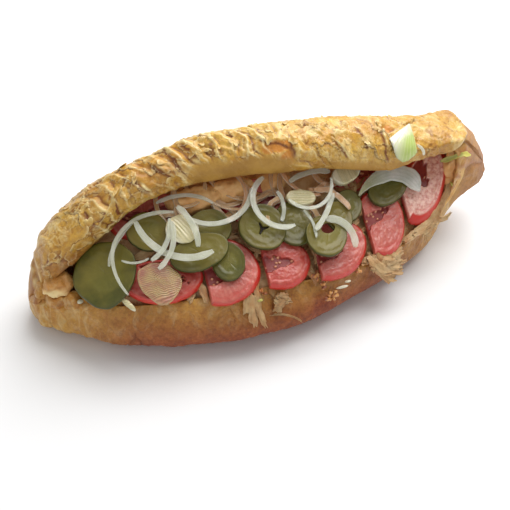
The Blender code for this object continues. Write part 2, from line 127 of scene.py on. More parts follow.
def addPiece(name, points, finish, nodes=(), fields=None, ring=False):
    # blocks x rows x around x 3 points, in mm. Each block is a net of quads closed around; its two
    # end rows are closed by a fan to their middle, or joined to each other on a ring.
    points = np.asarray(points, float)
    points = points if points.ndim == 4 else points[None]
    blocks, rows, around = points.shape[:3]
    index = np.arange(blocks * rows * around).reshape(blocks, rows, around)
    nextRow = np.roll(index, -1, 1) if ring else index[:, 1:]
    thisRow = index if ring else index[:, :-1]
    quads = np.stack([thisRow, np.roll(thisRow, -1, 2), np.roll(nextRow, -1, 2), nextRow], -1)
    a, b, c, d = (points.reshape(-1, 3)[quads[..., i]] for i in range(4))
    volume = ((a * np.cross(b, c)).sum(-1) + (a * np.cross(c, d)).sum(-1)).sum((1, 2))
    if ring:
        middles = np.zeros((0, 3))
        caps = np.zeros((blocks, 0, 3), int)
    else:
        middles = points[:, [0, -1]].mean(2).reshape(-1, 3)
        tip = index.size + np.arange(2 * blocks).reshape(blocks, 2)
        first, last = index[:, 0], index[:, -1]
        head = np.stack([np.roll(first, -1, 1), first, tip[:, :1] + 0 * first], -1)
        tail = np.stack([last, np.roll(last, -1, 1), tip[:, 1:] + 0 * last], -1)
        caps = np.concatenate([head, tail], 1)
        both = np.concatenate([points.reshape(-1, 3), middles])
        a, b, c = (both[caps[..., i]] for i in range(3))
        volume = volume + (a * np.cross(b, c)).sum((1, 2))
    quads = quads.reshape(blocks, -1, 4)
    inside = volume < 0
    quads[inside] = quads[inside][..., ::-1]
    caps[inside] = caps[inside][..., ::-1]
    corners = np.concatenate([points.reshape(-1, 3), middles]) * mm
    loops = np.concatenate([quads.ravel(), caps.ravel()])
    sides = np.concatenate([np.full(quads.size // 4, 4), np.full(caps.size // 3, 3)])
    mesh = bpy.data.meshes.new(name)
    mesh.vertices.add(len(corners))
    mesh.vertices.foreach_set("co", corners.ravel())
    mesh.loops.add(len(loops))
    mesh.loops.foreach_set("vertex_index", loops)
    mesh.polygons.add(len(sides))
    mesh.polygons.foreach_set("loop_start", np.concatenate([[0], np.cumsum(sides)[:-1]]))
    mesh.polygons.foreach_set("loop_total", sides)
    mesh.update(calc_edges=True)
    mesh.validate()
    mesh.shade_smooth()
    for key, value in (fields or {}).items():
        value = np.broadcast_to(np.asarray(value, float), points.shape[:3])
        ends = value[:, [0, -1]].mean(2).ravel()[:len(middles)]
        layer = mesh.attributes.new(key, "FLOAT", "POINT")
        layer.data.foreach_set("value", np.concatenate([value.ravel(), ends]))
    mesh.materials.append(finish)
    piece = bpy.data.objects.new(name, mesh)
    bpy.context.scene.collection.objects.link(piece)
    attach(piece, "root")
    if nodes:
        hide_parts(*nodes)
    return piece


def normals(points):
    # Unit normals of a net of points, closed around, from the cross product of its two directions
    lengthwise = np.gradient(points, axis=0)
    across = np.roll(points, -1, 1) - np.roll(points, 1, 1)
    out = np.cross(lengthwise, across)
    return out / np.maximum(np.linalg.norm(out, axis=-1, keepdims=True), 1e-9)


def tint(red, green, blue):
    # The linear colour of a screen colour given from 0 to 255
    return tuple(v / 3294.6 if v < 10.3 else ((v / 255 + 0.055) / 1.055) ** 2.4
                 for v in (red, green, blue)) + (1.0,)


def newFinish(name, **settings):
    # A material whose shader has these constant settings; gives back its node tree and shader too
    material = bpy.data.materials.new(name)
    material.use_nodes = True
    shader = material.node_tree.nodes["Principled BSDF"]
    for socket, value in settings.items():
        shader.inputs[socket.replace("_", " ")].default_value = value
    return material, material.node_tree, shader


def add(tree, kind, inputs=(), **settings):
    # One node, its settings, and its inputs given as values or as other nodes' outputs
    node = tree.nodes.new("ShaderNode" + kind)
    for key, value in settings.items():
        setattr(node, key, value)
    for key, value in dict(inputs).items():
        if isinstance(value, bpy.types.NodeSocket):
            tree.links.new(value, node.inputs[key])
        else:
            node.inputs[key].default_value = value
    return node


def place(tree, stretch=(1, 1, 1), turn=0.0):
    # Object coordinates, stretched and turned about Z
    spot = add(tree, "TexCoord").outputs["Object"]
    return add(tree, "Mapping", {"Vector": spot, "Scale": stretch, "Rotation": (0, 0, turn)}).outputs[0]


def noise(tree, vector, scale, detail=3.0, rough=0.55, distort=0.0):
    # Cloudy noise around 0.5: octaves of finer noise are added, each rough times as strong as the last
    return add(tree, "TexNoise", {"Vector": vector, "Scale": scale, "Detail": detail, "Roughness": rough,
                                  "Distortion": distort}).outputs["Fac"]


def ramp(tree, factor, *stops):
    # A factor turned into a grey from 0 to 1, or a colour, by (place, value) stops
    node = add(tree, "ValToRGB", {"Fac": factor})
    band = node.color_ramp.elements
    while len(band) < len(stops):
        band.new(0.5)
    for item, (spot, value) in zip(band, stops):
        item.position = spot
        item.color = value if isinstance(value, tuple) else (value, value, value, 1)
    return node.outputs[0]


def mix(tree, factor, a, b):
    # a where the factor is 0, b where it is 1
    node = add(tree, "Mix", data_type="RGBA")
    for socket, value in ((node.inputs[0], factor), (node.inputs[6], a), (node.inputs[7], b)):
        if isinstance(value, bpy.types.NodeSocket):
            tree.links.new(value, socket)
        else:
            socket.default_value = value
    return node.outputs[2]


def coats(tree, colour, *layers):
    # Coats of colour laid over one another, each (how much, colour)
    for amount, coat in layers:
        colour = mix(tree, amount, colour, coat)
    return colour


def paint(tree, shader, colour, rough):
    # Joins the colour and the roughness, a socket or a number, to the shader
    tree.links.new(colour, shader.inputs["Base Color"])
    if isinstance(rough, float):
        shader.inputs["Roughness"].default_value = rough
    else:
        tree.links.new(rough, shader.inputs["Roughness"])


def sums(tree, operation, a, b=0.0, clamp=False):
    # One step of arithmetic on a and b
    return add(tree, "Math", {0: a, 1: b}, operation=operation, use_clamp=clamp).outputs[0]


def reading(tree, name):
    # The piece's own field of that name, blended between its points
    return add(tree, "Attribute", attribute_name=name).outputs["Fac"]


def bump(tree, shader, *layers):
    # Stacks (height, distance in mm, strength) layers and joins them to the shader
    normal = None
    for height, distance, strength in layers:
        node = add(tree, "Bump", {"Height": height, "Distance": distance * mm, "Strength": strength})
        if normal is not None:
            tree.links.new(normal, node.inputs["Normal"])
        normal = node.outputs[0]
    tree.links.new(normal, shader.inputs["Normal"])


# The half loaf. Its driving lines are (place along X, value) pairs; each section is an open C of
# controls from the lower lip, round the back, to the flap's rim, then back along the inner side.
loaf = {
    "front": [(-165, 2), (-154, -7), (-125, -29), (-96, -42), (-65, -49), (-33, -53), (1, -50),
              (31, -41), (63, -29), (102, -8), (124, 10), (164, 26)],
    "back": [(-165, 25), (-151, 35), (-111, 47), (-61, 51), (99, 51), (139, 50), (164, 44)],
    # height of the widest place of the front above the floor line
    "belly": [(-165, 15), (-150, 20), (-115, 23), (-60, 24), (-28, 23.5), (0, 20), (40, 17), (80, 15),
              (164, 15)],
    "floor": [(-165, 4), (-149, 0), (79, 0), (102, 2), (122, 12), (139, 23), (164, 31)],
    "top": [(-165, 44), (-151, 59), (-135, 75.5), (-118, 90), (-101, 100.5), (-74, 111), (-46, 118),
            (-11, 119), (29, 114), (77, 102), (104, 94), (121, 92), (134, 86), (145, 76), (154, 67),
            (164, 57)],
    "lip": [(-165, 0), (-148, -7), (-121, -23), (-91, -33), (-36, -38), (1, -39), (37, -34),
            (74, -22), (102, -8), (119, 2), (134, 12)],
    "lipHeight": [(-165, 26), (-148, 30), (-126, 38), (-103, 40), (1, 40), (37, 36), (74, 32),
                  (102, 34), (119, 42), (130, 54), (134, 64)],
    "rim": [(-160, 9), (-148, 1), (-136, 0), (-116, 2), (-91, 7), (-61, 10), (-31, 8), (-1, 6),
            (49, 6), (89, 8), (129, 13), (140, 18)],
    "rimHeight": [(-160, 34), (-153, 37), (-143, 47), (-129, 57), (-119, 65), (-107, 73), (-91, 84),
                  (-61, 92), (-31, 94), (-1, 93), (44, 86), (61, 80), (79, 76), (95, 79), (116, 79),
                  (126, 80), (134, 79), (140, 73)],
    "leftReach": [-164, -165, -166, -166, -166, -166, -166, -165, -163, -160, -157, -155, -154, -154,
                  -154],
    "rightReach": [134, 149, 159, 165, 168, 169, 169, 169, 168, 164, 158, 151, 143, 141, 139],
    "wall": [7, 9, 13, 12, 10, 10, 11, 11, 12, 14],
    "endRound": (12.0, 6.5),      # length over which the left and right tips close in
    "endKeep": (0.10, 0.10),      # how much of the section is left at each tip
    "blunt": (2.2, 2.6),          # how blunt each tip is
    "shut": ((0.012, 0.050), (0.885, 0.966)),   # near the tips the crust closes over the mouth
    "shutBulge": 2.5,
    "hollow": (0.13, 0.87, 0.08),  # between these the loaf is hollow, and how fast it closes up
    "stations": 456,
    # points of the ring between one control and the next
    "spans": [15, 13, 11, 9, 5, 4, 5, 7, 9, 13, 18, 20, 15, 14, 8, 6, 5, 3, 3, 3, 3, 3, 3, 3, 4, 9],
}


def mouthShut(s):
    # 0 along the mouth, 1 at the tips where the crust closes over it
    left, right = loaf["shut"]
    return fall(*left, s) + rise(*right, s)


def loafControls(s):
    # Outer and inner controls of the sections at s, 0 at the left tip to 1 at the right tip
    s = np.asarray(s, float)
    left, right = np.array(loaf["leftReach"], float), np.array(loaf["rightReach"], float)
    x = left + (right - left) * s[:, None]
    front, back, floor, top, lip, lipHeight, rim, rimHeight = (along(x, loaf[line]) for line in (
        "front", "back", "floor", "top", "lip", "lipHeight", "rim", "rimHeight"))
    width, height = back - front, top - floor
    small = np.clip(width / 90, 0, 1)
    belly = along(x, loaf["belly"])
    outline = [
        (lip, lipHeight),
        (between(lip, front, 0.75), between(lipHeight, floor + belly * small, 0.45)),
        (front, floor + belly * small),
        (front + 0.15 * width, floor + (belly - 12.5) * small),
        (front + 0.38 * width, floor),
        (back - 0.30 * width, floor),
        (back - 0.08 * width, floor + 9 * small),
        (back, floor + 0.27 * height),
        (back, floor + 0.52 * height),
        (back - 0.06 * width, floor + 0.80 * height),
        (back - 0.26 * width, top - 1.5 * small),
        (between(back - 0.26 * width, rim, 0.55), top),
        (rim - small, between(top, rimHeight, 0.28)),
        (rim - 3 * small, between(top, rimHeight, 0.7)),
        (rim, rimHeight),
    ]
    outer = np.stack([np.stack([x[:, i], y[:, i], z[:, i]], -1)
                      for i, (y, z) in enumerate(outline)], 1)
    # the tips close in on the middle of the section, along a blunted quarter circle
    length = loaf["rightReach"][7] - loaf["leftReach"][7]
    keep = 1
    for end, run in enumerate((s, 1 - s)):
        turn = 1 - np.clip(run * length / loaf["endRound"][end], 0, 1)
        power = loaf["blunt"][end]
        keep = np.minimum(keep, between(loaf["endKeep"][end], 1, (1 - turn ** power) ** (1 / power)))
    keep = keep[:, None, None]
    middle = outer[:, [2, 3, 7, 10]].mean(1)[:, None]
    outer = middle + (outer - middle) * keep
    # the inner side steps in from the outer one towards the middle of the hollow
    hollow = np.stack([x[:, 7], (outer[:, 2, 1] + outer[:, 7, 1]) / 2,
                       between(outer[:, 11, 2], outer[:, 4, 2], 0.55)], -1)[:, None]
    inward = hollow - outer[:, :10]
    reach = np.linalg.norm(inward[..., 1:], axis=-1)
    step = np.minimum(np.array(loaf["wall"]) * np.clip(reach / 45, 0.25, 1), 0.5 * reach)
    start, end, fade = loaf["hollow"]
    closed = np.clip((start - s) / fade, 0, 1) + np.clip((s - end) / fade, 0, 1)
    step = between(step, 0.8 * reach, (closed * closed * (3 - 2 * closed))[:, None])
    inner = outer[:, :10] + inward * (step / reach)[..., None]
    inner[:, 9] = between(inner[:, 9], inner[:, 8], 0.35)
    underFlap = outer[:, 11].copy()
    underFlap[:, 2] = outer[:, 14, 2] + 1.5 * keep[:, 0, 0]
    corner = outer[:, 9].copy()
    corner[:, 1] = outer[:, 7, 1] - 0.22 * (outer[:, 7, 1] - outer[:, 2, 1])
    corner[:, 2] = outer[:, 14, 2]
    inner = np.concatenate([underFlap[:, None], corner[:, None], inner[:, :0:-1]], 1)
    # where the mouth is shut they lie on the line from the rim to the lip, bulging out a little
    rim, lip = outer[:, 14:15], outer[:, :1]
    share = np.linspace(0, 1, 13)[None, 1:-1, None]
    front = between(rim, lip, share)
    gap = lip - rim
    outward = np.stack([0 * gap[..., 0], gap[..., 2], -gap[..., 1]], -1)
    outward = outward / np.maximum(np.linalg.norm(outward, axis=-1, keepdims=True), 1e-6)
    front = front + outward * loaf["shutBulge"] * keep * np.sin(math.pi * share)
    inner = between(inner, front, mouthShut(s)[:, None, None])
    return np.concatenate([outer, inner], 1)


def loopAt(controls, t):
    # Closed Catmull-Rom curve through each row of controls, at the places t counted in controls
    size = controls.shape[1]
    i = np.floor(t).astype(int)
    f = (t - i)[None, :, None]
    a, b, c, d = (controls[:, (i + k) % size] for k in (-1, 0, 1, 2))
    return 0.5 * (2 * b + (c - a) * f + (2 * a - 5 * b + 4 * c - d) * f ** 2
                  + (3 * b - a - 3 * c + d) * f ** 3)


# The crust's relief. Lengths in mm; on the flap they are measured up from its rim.
crust = {
    # the flap and the back, up from the rim, and the lower half, down from the lip: where each fades
    "flap": (62, 95), "back": (55, 95), "lower": (60, 80), "margin": (20, 30),
    # smooth strips along the rim: where each starts and ends along x, its upper edge, how smooth it
    # is, and how far its upper edge wanders
    "bare": [((-60, -50), (4, 16), (14, 19), 1.0, 4), ((28, 36), (84, 96), (7, 12), 0.9, 0)],
    # flat plates of skin: size, step in height between neighbours, tilt, how ragged their outline is
    "plate": ((16, 19), 1.0, 1.6, 0.22),          # big peeled ones
    "chip": ((5.0, 6.5), 0.45, 0.8, 0.3),         # small broken flakes
    "facet": ((10, 15), 0.5, 0.8, 0.35),          # crumpled like foil
    "fold": (10.5, 1.9),                          # slanting folds across the flap: spacing, height
    "crinkle": (5.5, 0.8),                        # finer creases: size, height
    "lobe": (136.5, -149.0), "lobeHeight": (1.8, 0.7),    # where the flap ends right and left
    "layers": (4.2, 0.8),                         # folds side by side at the left tip: spacing, height
    "lump": (26, 1.3), "pucker": (7, 0.35),       # noise all over: size, height
    "creaseSize": (17, 70), "creaseDepth": 1.0,   # upright creases of the lower half
    "crumple": (9, 2.2),                          # folds at the left end: size, height
    "leather": ((3.6, 0.38), (1.9, 0.22)),        # pebbled skin of the lower half and the back
    "bubbleSize": 13, "bubbleHeight": 0.25, "seed": 5,
    # single tears across the flap: from and to, as (x, up from the rim), and how much they stand up
    "tears": [((-103, 26), (-98, 8), 1.0), ((-92, 28), (-79, 9), 1.5), ((-77, 26), (-63, 12), 1.7),
              ((-68, 35), (-58, 17), 1.4), ((-56, 33), (-49, 21), 1.2), ((-10, 28), (9, 22), 1.5),
              ((10, 30), (10.5, 14), 1.7), ((37, 24), (46, 12), 1.3), ((54, 34), (60, 20), 0.8),
              ((71.5, 34), (73, 10), 1.2), ((-119, 30), (-112, 12), 1.0)],
    # orange patches where the skin came off: (x, up), half size, and how deep
    "peeled": [((0, 22), (11, 5)), ((77, 35), (5, 4)), ((6, 14), (6, 7))], "peelDepth": 0.7,
}


def plates(points, u, v, kind, seed):
    # Flat plates, one to a cell, each at its own height and tilt, in mm. Gives the height, the raised torn
    # edge (0 to 1), lightened partly as painted highlight, and the crack beside it (0 to 1), darkened
    # partly as painted shade.
    size, step, tilt, ragged = crust[kind]
    u = u / size[0] + ragged * (grain(points, 7, seed) + 0.4 * grain(points, 2.6, seed + 1))
    v = v / size[1] + ragged * (grain(points, 8, seed + 2) + 0.4 * grain(points, 3, seed + 3))
    near, other = cells(u, v, seed)

    def level(cell):
        slope = (cell[3] - 0.5) * cell[1] + (cell[4] - 0.5) * cell[2]
        return step * (cell[5] - 0.5) + tilt * 2 * slope
    mine, theirs = level(near), level(other)
    gap = (other[0] - near[0]) * min(size)
    over = np.clip((mine - theirs) / step, -1, 1)
    edge = rise(0.25, 0.7, over) * fall(0.3, 1.5, gap)
    crack = rise(0.1, 0.7, -over) * fall(0.2, 1.8, gap)
    return mine - 0.25 * step * crack + 0.3 * edge, edge, crack


def tooth(u):
    # A zigzag between -1 and 1 with flat sides, one tooth to a unit
    return 4 * np.abs(u - np.floor(u) - 0.5) - 1


def crinkles(points, u, v, size, seed):
    # Crumpled skin: zigzags in three directions with wandering phases, so that flat facets meet in
    # sharp ridges
    total = 0
    for k, (a, b) in enumerate(((1.0, 0.25), (-0.45, 0.9), (0.6, 0.75))):
        phase = (a * u + b * v) / size + 0.55 * grain(points, 2.2 * size, seed + k)
        total = total + tooth(phase) * (0.55 + 0.45 * grain(points, 3 * size, seed + 10 + k))
    return total / 2


def tears(points, x, up):
    # Along each tear one side stands up, falling away over a few mm; gives height, edge and crack. The
    # standing side is lightened partly as painted highlight, and the lower side is darkened partly as
    # painted shade.
    height, edge, crack = 0 * x, 0 * x, 0 * x
    ragged = 1.1 * grain(points, 6, 74) + 0.6 * grain(points, 2.4, 75)
    for (x0, up0), (x1, up1), stand in crust["tears"]:
        length = math.hypot(x1 - x0, up1 - up0)
        c, d = (x1 - x0) / length, (up1 - up0) / length
        forward = (x - x0) * c + (up - up0) * d
        off = (up - up0) * c - (x - x0) * d + ragged
        here = rise(-2, 3, forward) * fall(length - 3, length + 2, forward)
        height = height + here * stand * rise(-0.4, 0.4, off) * fall(1, 8, off)
        edge = np.maximum(edge, here * rise(0.0, 0.4, off) * fall(0.5, 1.6, off))
        crack = np.maximum(crack, here * rise(-2.8, -0.4, off) * fall(-0.4, 0.1, off))
    return 0.8 * height, edge * rise(-0.4, 0.6, grain(points, 5, 77)), crack


def crustRelief(points, up, down):
    # Height off the smooth loaf: each kind of relief times its share there, added up. Gives the edge,
    # crack, blister, skin and peeled fields too. The edge lightens raised edges and crests, partly as
    # painted highlight; the crack darkens cracks, troughs and creases, partly as painted shade. up is the
    # distance from the flap's rim, down from the lower lip, both along the outside.
    x, z = points[..., 0], points[..., 2]
    seed = crust["seed"]
    flap = fall(*crust["flap"], up) * rise(*crust["margin"], down)
    lower = fall(*crust["lower"], down) * rise(*crust["margin"], up)
    wander, bare = grain(points, 12, 7), 0
    for start, end, edge, share, reach in crust["bare"]:
        strip = rise(*start, x) * fall(*end, x) * fall(*edge, up + reach * wander)
        bare = np.maximum(bare, share * strip)
    lobeEnd, foldsEnd = crust["lobe"]
    wavy = x + 1.6 * grain(points, 9, 8)
    rounded = wavy + 13 * fall(0, 17, up) + 9 * rise(30, 62, up)
    heel = rise(lobeEnd, lobeEnd + 2.5, rounded)
    tip = fall(foldsEnd - 6.0, foldsEnd + 3.0, wavy)
    grainy = rise(98, 106, x) * flap * (1 - heel)
    # big peeled plates left and right, slanting folds between them, small chips and crinkles
    peel = np.clip(0.8 - 0.8 * rise(-106, -90, x) + 0.9 * rise(8, 26, x), 0, 1)
    folds = (0.35 + 0.65 * rise(-134, -108, x)) * (1 - 0.8 * rise(0, 35, x))
    slant = x + 0.6 * up + 5 * grain(points, 30, seed)
    bigHeight, bigEdge, bigCrack = plates(points, slant, up, "plate", seed)
    chipHeight, chipEdge, chipCrack = plates(points, x, up, "chip", seed + 20)
    spacing, foldHeight = crust["fold"]
    phase = slant / spacing + 0.45 * grain(points, 16, seed + 30) + 0.22 * grain(points, 6, seed + 32)
    fold = phase - np.floor(phase)
    fold = 2 * np.minimum(fold / 0.72, (1 - fold) / 0.28) - 1           # a slow climb, then a steep drop
    strong = np.clip(0.6 + 1.1 * grain(points, 15, seed + 31), 0, 1) * (1 - 0.55 * rise(30, 44, up))
    facetHeight, facetEdge, facetCrack = plates(points, slant, up + 0.3 * x, "facet", seed + 50)
    crinkleSize, crinkleHeight = crust["crinkle"]
    crinkle = crinkles(points, slant, up, crinkleSize, seed + 40)
    torn = flap * (1 - 0.95 * bare) * (1 - 0.9 * heel) * (1 - 0.9 * tip) * (1 - 0.75 * grainy)
    bigShare, foldShare = torn * peel, torn * folds * strong * rise(1, 6, up)
    chipShare = torn * (0.8 - 0.4 * rise(5, 20, x)) * rise(0.15, 0.6, grain(points, 20, seed + 4))
    crinkleShare = torn * (0.3 + 0.7 * rise(-0.3, 0.4, grain(points, 24, seed + 5)))
    facetShare = torn * (0.35 + 0.65 * rise(-0.5, 0.2, grain(points, 22, seed + 6)))
    facetShare = facetShare * (1 - 0.4 * rise(5, 20, x))
    height = (bigShare * bigHeight + foldShare * foldHeight * 0.5 * fold + chipShare * chipHeight
              + crinkleShare * crinkleHeight * crinkle + facetShare * facetHeight
              + grainy * (0.35 * grain(points, 2.2, 66) + 0.25 * grain(points, 5, 67)))
    # the edge colour goes on raised edges and crests, partly as painted highlight; the crack colour goes in
    # cracks, on the steep side of the folds and in the troughs of the crinkles, partly as painted shade
    edge = (0.55 * bigShare * bigEdge + 0.75 * foldShare * rise(0.6, 1.0, fold)
            + 0.5 * chipShare * chipEdge + 0.4 * crinkleShare * rise(0.6, 0.95, crinkle)
            + 0.6 * facetShare * facetEdge)
    crack = (bigShare * bigCrack + 0.9 * foldShare * fall(-1.0, -0.5, fold)
             + 0.6 * chipShare * chipCrack + 0.9 * facetShare * facetCrack
             + 0.35 * crinkleShare * fall(-0.9, -0.5, crinkle)
             + 0.5 * grainy * rise(0.35, 0.8, grain(points, 3, 68)))
    ripped, tornEdge, tornCrack = tears(points, x, up)
    height, edge, crack = height + flap * ripped, edge + flap * tornEdge, crack + flap * tornCrack
    # the flap ends right and left as a lobe that stands over the smooth heel and the folded tip, with a
    # painted shadow line where it overhangs the heel
    over = rise(*crust["margin"], down) * fall(50, 90, up)
    heelDrop, tipDrop = crust["lobeHeight"]
    height = height - over * (heelDrop * heel + tipDrop * tip)
    height = height + 0.7 * over * heelDrop * np.exp(-((rounded - lobeEnd + 3) / 5) ** 2)
    crack = crack + 0.9 * np.exp(-((rounded - lobeEnd - 1.6) / 1.1) ** 2) * over
    spacing, layerHeight = crust["layers"]
    layers = tooth((x - foldsEnd) / spacing + 0.35 * grain(points, 12, 9))
    height = height + tip * flap * layerHeight * layers
    # at the tip the crests of the folds are lightened as painted highlight and their troughs darkened as
    # painted shade
    edge = edge + 0.5 * tip * flap * rise(0.5, 1.0, layers)
    crack = crack + 0.5 * tip * flap * fall(-1.0, -0.4, layers)
    # the lower half: upright creases that fade out, and folds crumpled together at the left end, darkened
    # in their hollows as painted shade, the folds lightened on their crests as painted highlight
    apart, long = crust["creaseSize"]
    near, other = cells(x / apart + 0.12 * grain(points, 6, 30), down / long + 0.3, 41)
    crease = fall(0.1, 0.8, (other[0] - near[0]) * apart)
    crease = crease * rise(-0.1, 0.5, grain(points, 25, 31)) * lower * (1 - heel) * fall(38, 50, down)
    height = height - crust["creaseDepth"] * crease
    size, rough = crust["crumple"]
    left = fall(-146, -112, x) * fall(70, 90, down) * rise(1, 8, z)
    wave = crinkles(points, x + 0.5 * z, points[..., 1] - 0.4 * z, size, 36)
    height = height + rough * left * wave
    crack = np.clip(crack + 0.75 * crease + 0.4 * left * fall(-0.9, -0.2, wave), 0, 1)
    edge = np.clip(edge + 0.25 * left * rise(0.3, 0.9, wave), 0, 1)
    # all over: lumps, puckers and a few bubbles
    everywhere = rise(1, 6, z)
    leather = np.maximum(lower, rise(*crust["back"], up)) * everywhere
    for k, (size, high) in enumerate(crust["leather"]):
        height = height + leather * high * grain(points, size, 37 + k)
    (lumpSize, lumpHeight), (puckerSize, puckerHeight) = crust["lump"], crust["pucker"]
    height = height + everywhere * lumpHeight * grain(points, lumpSize, 34)
    height = height + everywhere * puckerHeight * (1 - 0.5 * bare) * grain(points, puckerSize, 35)
    near, _ = cells(x / crust["bubbleSize"], (up + down * 0.3) / crust["bubbleSize"], 52)
    blister = (near[3] > 0.72) * fall(0.10, 0.26, near[0]) * (1 - bare) * flap
    height = height + crust["bubbleHeight"] * blister
    skin = np.clip(np.maximum(bare, heel) + 0.25 * tip * flap, 0, 1)
    skin = np.maximum(skin, 0.85 * rise(*crust["back"], up) * rise(50, 85, down))
    peeled = 0 * x
    for (x0, up0), (halfX, halfUp) in crust["peeled"]:
        off = np.hypot((x - x0) / halfX, (up - up0) / halfUp) + 0.3 * grain(points, 4, 76)
        peeled = np.maximum(peeled, fall(0.7, 1.05, off))
    return height - crust["peelDepth"] * peeled, edge, np.clip(crack, 0, 1), blister, skin, peeled * flap


def breadFinish():
    # Glossy golden crust: deep gold in the cracks, darkened further as painted shade; cream on raised
    # edges, partly paler torn crust and partly painted highlight; brown towards the bottom, from baking and
    # from painted shade; pale inside
    material, tree, shader = newFinish("baked_crust", Coat_Weight=0.22, Coat_Roughness=0.24,
                                       Specular_IOR_Level=0.4)
    spot = place(tree)
    broad = noise(tree, spot, 28, 4)
    blotch = noise(tree, spot, 90, 5, 0.6)
    fine = noise(tree, spot, 620, 3, 0.6)
    streaks = noise(tree, place(tree, (1.0, 1.0, 0.35), 0.5), 85, 4, 0.6, 1.5)
    pores = noise(tree, spot, 430, 4, 0.7)
    wrinkle = noise(tree, spot, 240, 5, 0.65, 0.8)
    toast, skin = reading(tree, "toast"), reading(tree, "skin")
    dark = sums(tree, "MULTIPLY", ramp(tree, pores, (0.36, 0.55), (0.5, 0.0)), toast)
    light = sums(tree, "MULTIPLY", ramp(tree, pores, (0.54, 0.0), (0.7, 0.45)), toast)
    gold = mix(tree, ramp(tree, broad, (0.36, 0.0), (0.64, 1.0)), tint(204, 150, 46), tint(224, 182, 78))
    smooth = mix(tree, ramp(tree, blotch, (0.40, 0.0), (0.66, 1.0)), tint(190, 144, 62), tint(168, 122, 48))
    # the dark brown laid on by the toasting field, which also carries the painted shade at the bottom of
    # the loaf
    toasted = mix(tree, ramp(tree, blotch, (0.35, 0.0), (0.66, 1.0)), tint(152, 72, 26), tint(128, 52, 18))
    crumb = mix(tree, ramp(tree, blotch, (0.35, 0.0), (0.7, 1.0)), tint(242, 196, 130), tint(224, 162, 96))
    colour = coats(tree, gold,
                   (ramp(tree, blotch, (0.50, 0.0), (0.72, 0.7)), tint(176, 118, 36)),
                   (ramp(tree, blotch, (0.28, 0.6), (0.42, 0.0)), tint(240, 220, 156)),
                   (ramp(tree, fine, (0.40, 0.30), (0.62, 0.0)), tint(150, 98, 40)),
                   (ramp(tree, streaks, (0.52, 0.0), (0.66, 0.6)), tint(240, 218, 152)),
                   (ramp(tree, streaks, (0.34, 0.5), (0.46, 0.0)), tint(170, 112, 34)),
                   (reading(tree, "peeled"), tint(204, 132, 44)),
                   (skin, smooth), (toast, toasted), (dark, tint(92, 40, 14)), (light, tint(200, 126, 66)),
                   # deep gold with painted shade in cracks, creases and troughs, then cream with a painted
                   # highlight on raised edges and crests
                   (reading(tree, "crack"), tint(122, 62, 12)),
                   (reading(tree, "edge"), tint(246, 228, 168)),
                   (reading(tree, "crumb"), crumb))
    dull = sums(tree, "ADD", skin, toast, True)
    rough = mix(tree, dull, ramp(tree, blotch, (0.3, 0.24), (0.75, 0.46)), (0.72, 0.72, 0.72, 1))
    paint(tree, shader, colour, rough)
    bump(tree, shader, (streaks, 1.0, 0.5), (wrinkle, 1.2, 0.7), (fine, 0.25, 0.4))
    return material


# How brown the crust is, 0 golden to 1 dark, from baking and from painted shade: the lower half is browner
# from baking and painted darker towards the bottom as shade, and the flap is painted darker towards its
# lower left as shade. For each place how much, and where it fades in or out along x, with the height, or
# with the distance up from the rim or down from the lip
browning = {
    "low": (0.97, 0.56, (14, 44), (52, 85)),      # the lower half: below, how much less above, reach
    "leftEnd": (0.25, 0.75, (-156, -92)), "rightEnd": (0.6, (55, 125)),     # less of it at both ends
    "back": (0.42, (60, 100)), "heel": (0.22, (134, 139)), "dome": (0.15, (98, 108), (62, 95)),
    "rim": (0.06, (1, 7)), "leftRim": (0.3, (-135, -85), (8, 26)),
    "patches": (0.3, (0.1, 0.7), 32), "blister": 0.1, "shut": (0.35, 0.35, (-0.3, 0.4)),
}


def baked(points, up, down, blister, skin):
    # The brownness of the outside, painted shade included: the sum of its places, from 0 to 1
    x, z = points[..., 0], points[..., 2]
    most, less, heights, reach = browning["low"]
    # darker towards the bottom: the underside's browning and painted shade together
    low = (most - less * rise(*heights, z)) * fall(*reach, down)
    least, more, leftEnd = browning["leftEnd"]
    paler, rightEnd = browning["rightEnd"]
    low = low * (least + more * rise(*leftEnd, x)) * (1 - paler * rise(*rightEnd, x))
    (back, far), (heel, heelAt), (dome, domeAt, domeUp) = (browning[k] for k in ("back", "heel", "dome"))
    behind = back * rise(*far, up) * rise(*far, down) + heel * rise(*heelAt, x)
    (rim, rimUp), (leftRim, leftAt, leftUp) = browning["rim"], browning["leftRim"]
    # a little darker along the rim, and darker towards the flap's lower left as painted shade
    under = rim * fall(*rimUp, up) + leftRim * fall(*leftAt, x) * fall(*leftUp, up)
    amount, level, size = browning["patches"]
    patches = amount * rise(*level, grain(points, size, 62)) * (1 - skin)
    total = low + behind + under + dome * rise(*domeAt, x) * fall(*domeUp, up) + patches
    return np.clip(total + browning["blister"] * blister, 0, 1)


